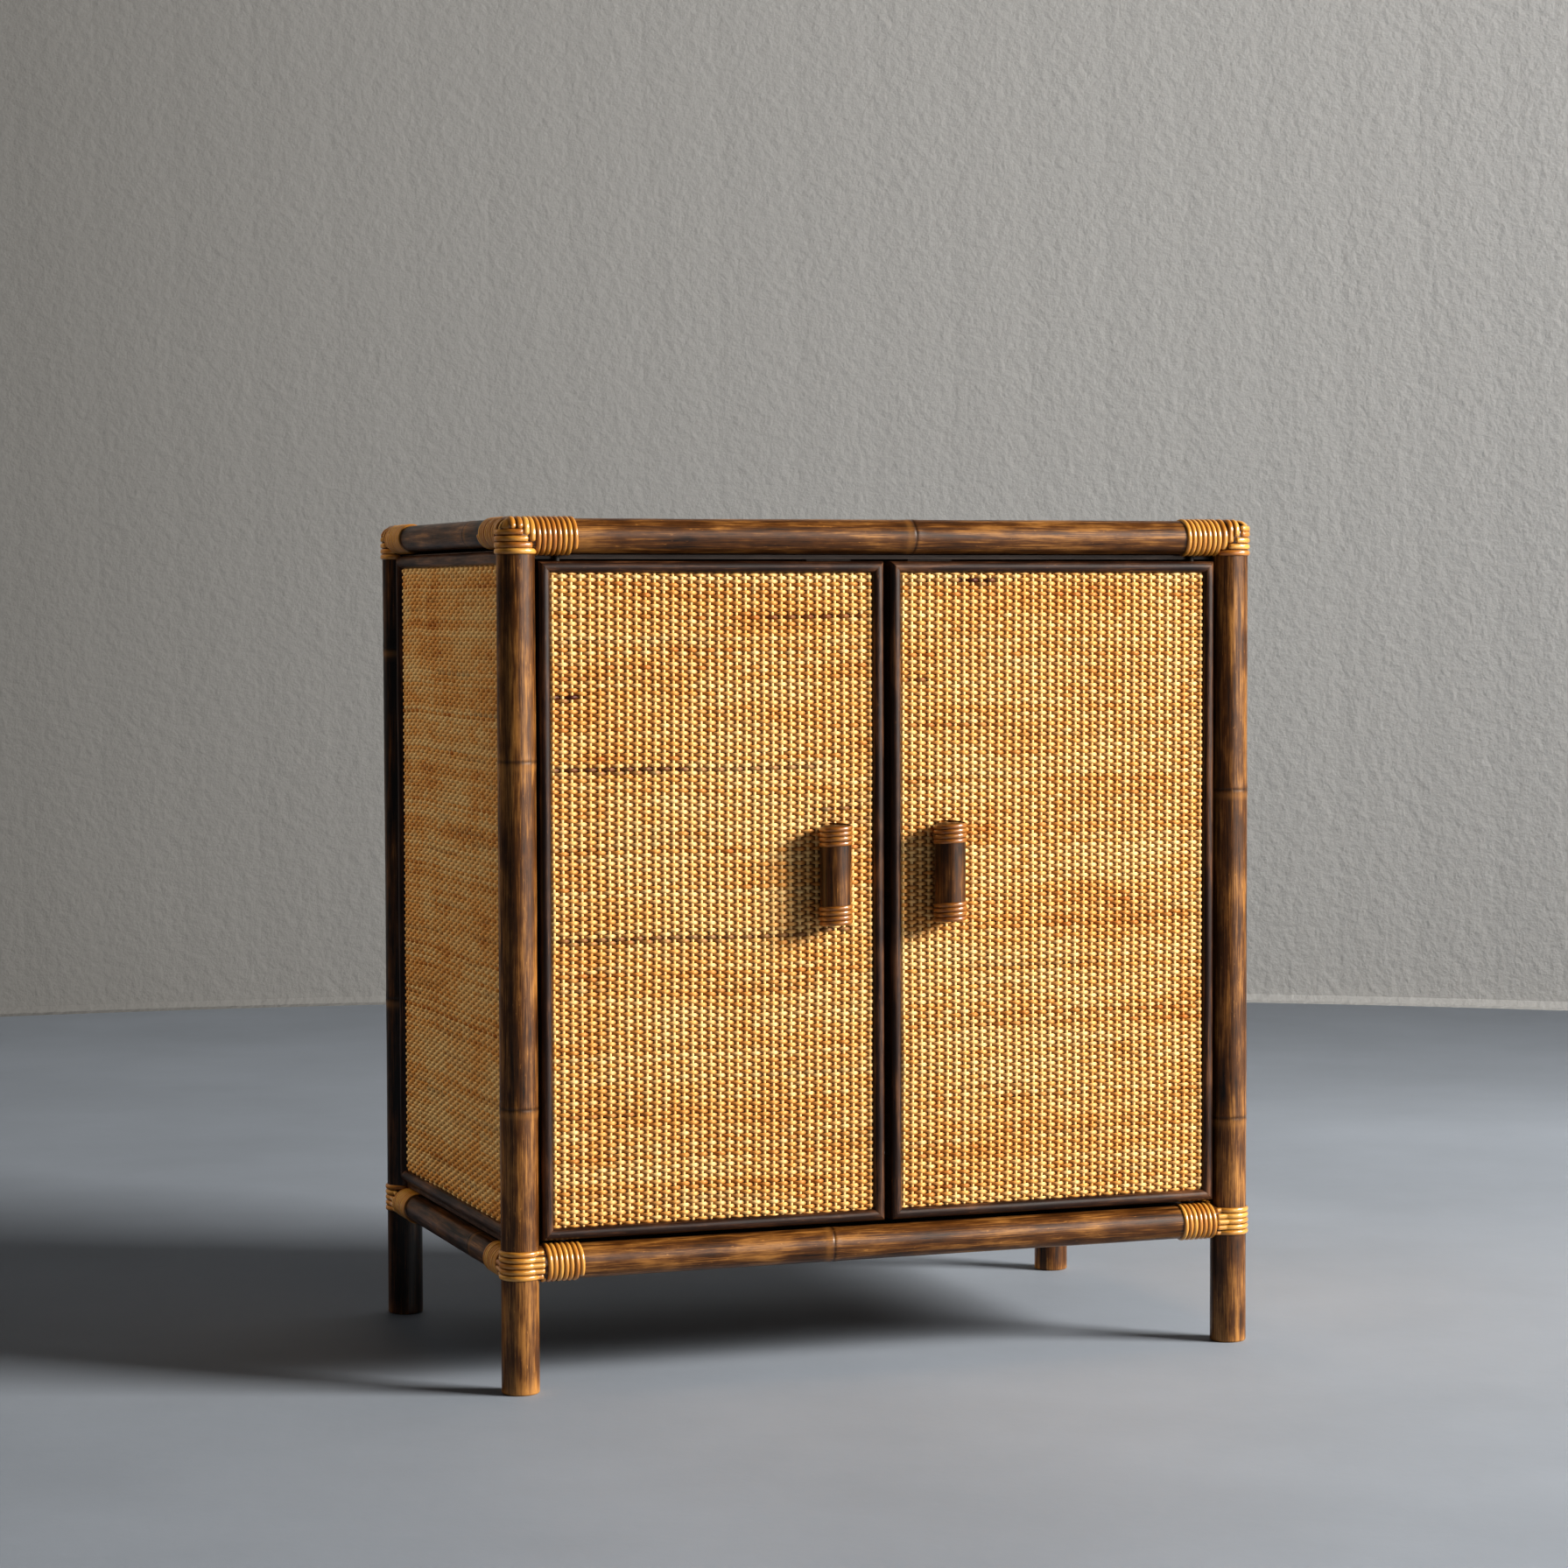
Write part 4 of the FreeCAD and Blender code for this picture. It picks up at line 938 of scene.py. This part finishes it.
# %% Handles
HANDLE_X, HANDLE_Y, HANDLE_R, HANDLE_FOOT, HANDLE_HEAD = 51.8, -204.25, 13.2, 380.2, 463.8
WRAPS_FROM, WRAP_R, WRAP_PITCH, WRAP_TURNS, WRAP_THICK = (380.6, 446.9), 12.9, 4.15, 4, 1.75

for side, s in (("left", -1), ("right", 1)):
    place = (s * HANDLE_X, HANDLE_Y)
    pole(f"handle_{side}", f"door_{side}", (*place, HANDLE_FOOT), (*place, HANDLE_HEAD), HANDLE_R,
         ease=(4.2, 4.2), stain=-0.25, seed=51 + s)
    strips = [coil((*place, 0), (0, 0, 1), WRAP_R, first, WRAP_PITCH, WRAP_TURNS, WRAP_THICK,
                   60 + s + int(first), 2.0, age=0.70) for first in WRAPS_FROM]
    lay(f"handle_{side}_cane", strips, CANE, f"door_{side}", (f"handle_{side}_wraps",))

# %% [markdown]
# ## Boards and small metal parts
# The boards behind the mats, the shelf and the floor are plywood, stained brown to match. They
# keep their CAD shape, so their grain has to come from where they are in space.

# %% Finishes of the carried-over parts
def board_finish():
    r = Recipe("stained_plywood", Coat_Weight=0.1)
    place = r.place()
    grain = r.noise(r.stretch(place, 1.0, 6.0, 9.0), 14.0, 5.0, 0.62, Distortion=0.6)
    pores = r.noise(r.stretch(place, 2.0, 30.0, 30.0), 22.0, 3.0, 0.6)
    mixed = r.weigh((grain, 0.7), (pores, 0.3))
    r.colour(r.ramp(mixed, (0.34, (0.040, 0.016, 0.007)), (0.52, (0.085, 0.037, 0.016)),
                    (0.68, (0.15, 0.072, 0.033))))
    r.rough(r.level(grain, 0.3, 0.7, 0.62, 0.48))
    r.bump(mixed, 0.3, 0.0003)
    return r.material

def metal_finish(name, tone, rough):
    r = Recipe(name, Metallic=1.0)
    wear = r.noise(r.place(), 420.0, 4.0, 0.6)
    r.colour(r.ramp(wear, (0.3, [c * 0.7 for c in tone]), (0.7, tone)))
    r.rough(r.level(wear, 0.3, 0.7, rough + 0.12, rough))
    r.bump(wear, 0.15, 0.0001)
    return r.material

def plastic_finish():
    r = Recipe("moulded_plastic")
    pebble = r.noise(r.place(), 900.0, 2.0, 0.5)
    r.colour(r.ramp(pebble, (0.3, (0.055, 0.032, 0.020)), (0.7, (0.085, 0.052, 0.034))))
    r.rough(r.level(pebble, 0.3, 0.7, 0.55, 0.42))
    r.bump(pebble, 0.3, 0.0001)
    return r.material

# %% Give each carried-over part its finish
# The steel is near black so that the pivot pins in the gaps under the top rail stay as dark as the
# shade there: painted shade.
finishes = {"inner_board": board_finish(), "catch_plastic": plastic_finish(),
            "zinc_steel": metal_finish("zinc", (.05, .047, .045), .6),
            "bush_brass": metal_finish("brass", (.72, .50, .22), .25),
            "stained_pole": POLE, "stained_trim": TRIM, "split_cane": CANE, "woven_rattan": STRAND}
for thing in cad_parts.values():
    for k, old in enumerate(thing.data.materials):
        thing.data.materials[k] = finishes[old.name.split(".")[0]]
print("finishes:", len(finishes))

# %% [markdown]
# ## What the two dim lights reach
# Light linking needs the objects themselves, so this step waits until every piece exists. The
# pieces made here and the parts of the CAD model all go into the collection of the dim lights.

# %% Let the dim lights reach the table
for thing in list(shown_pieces()) + list(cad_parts.values()):
    if thing.name not in only_table.objects:
        only_table.objects.link(thing)

# %% [markdown]
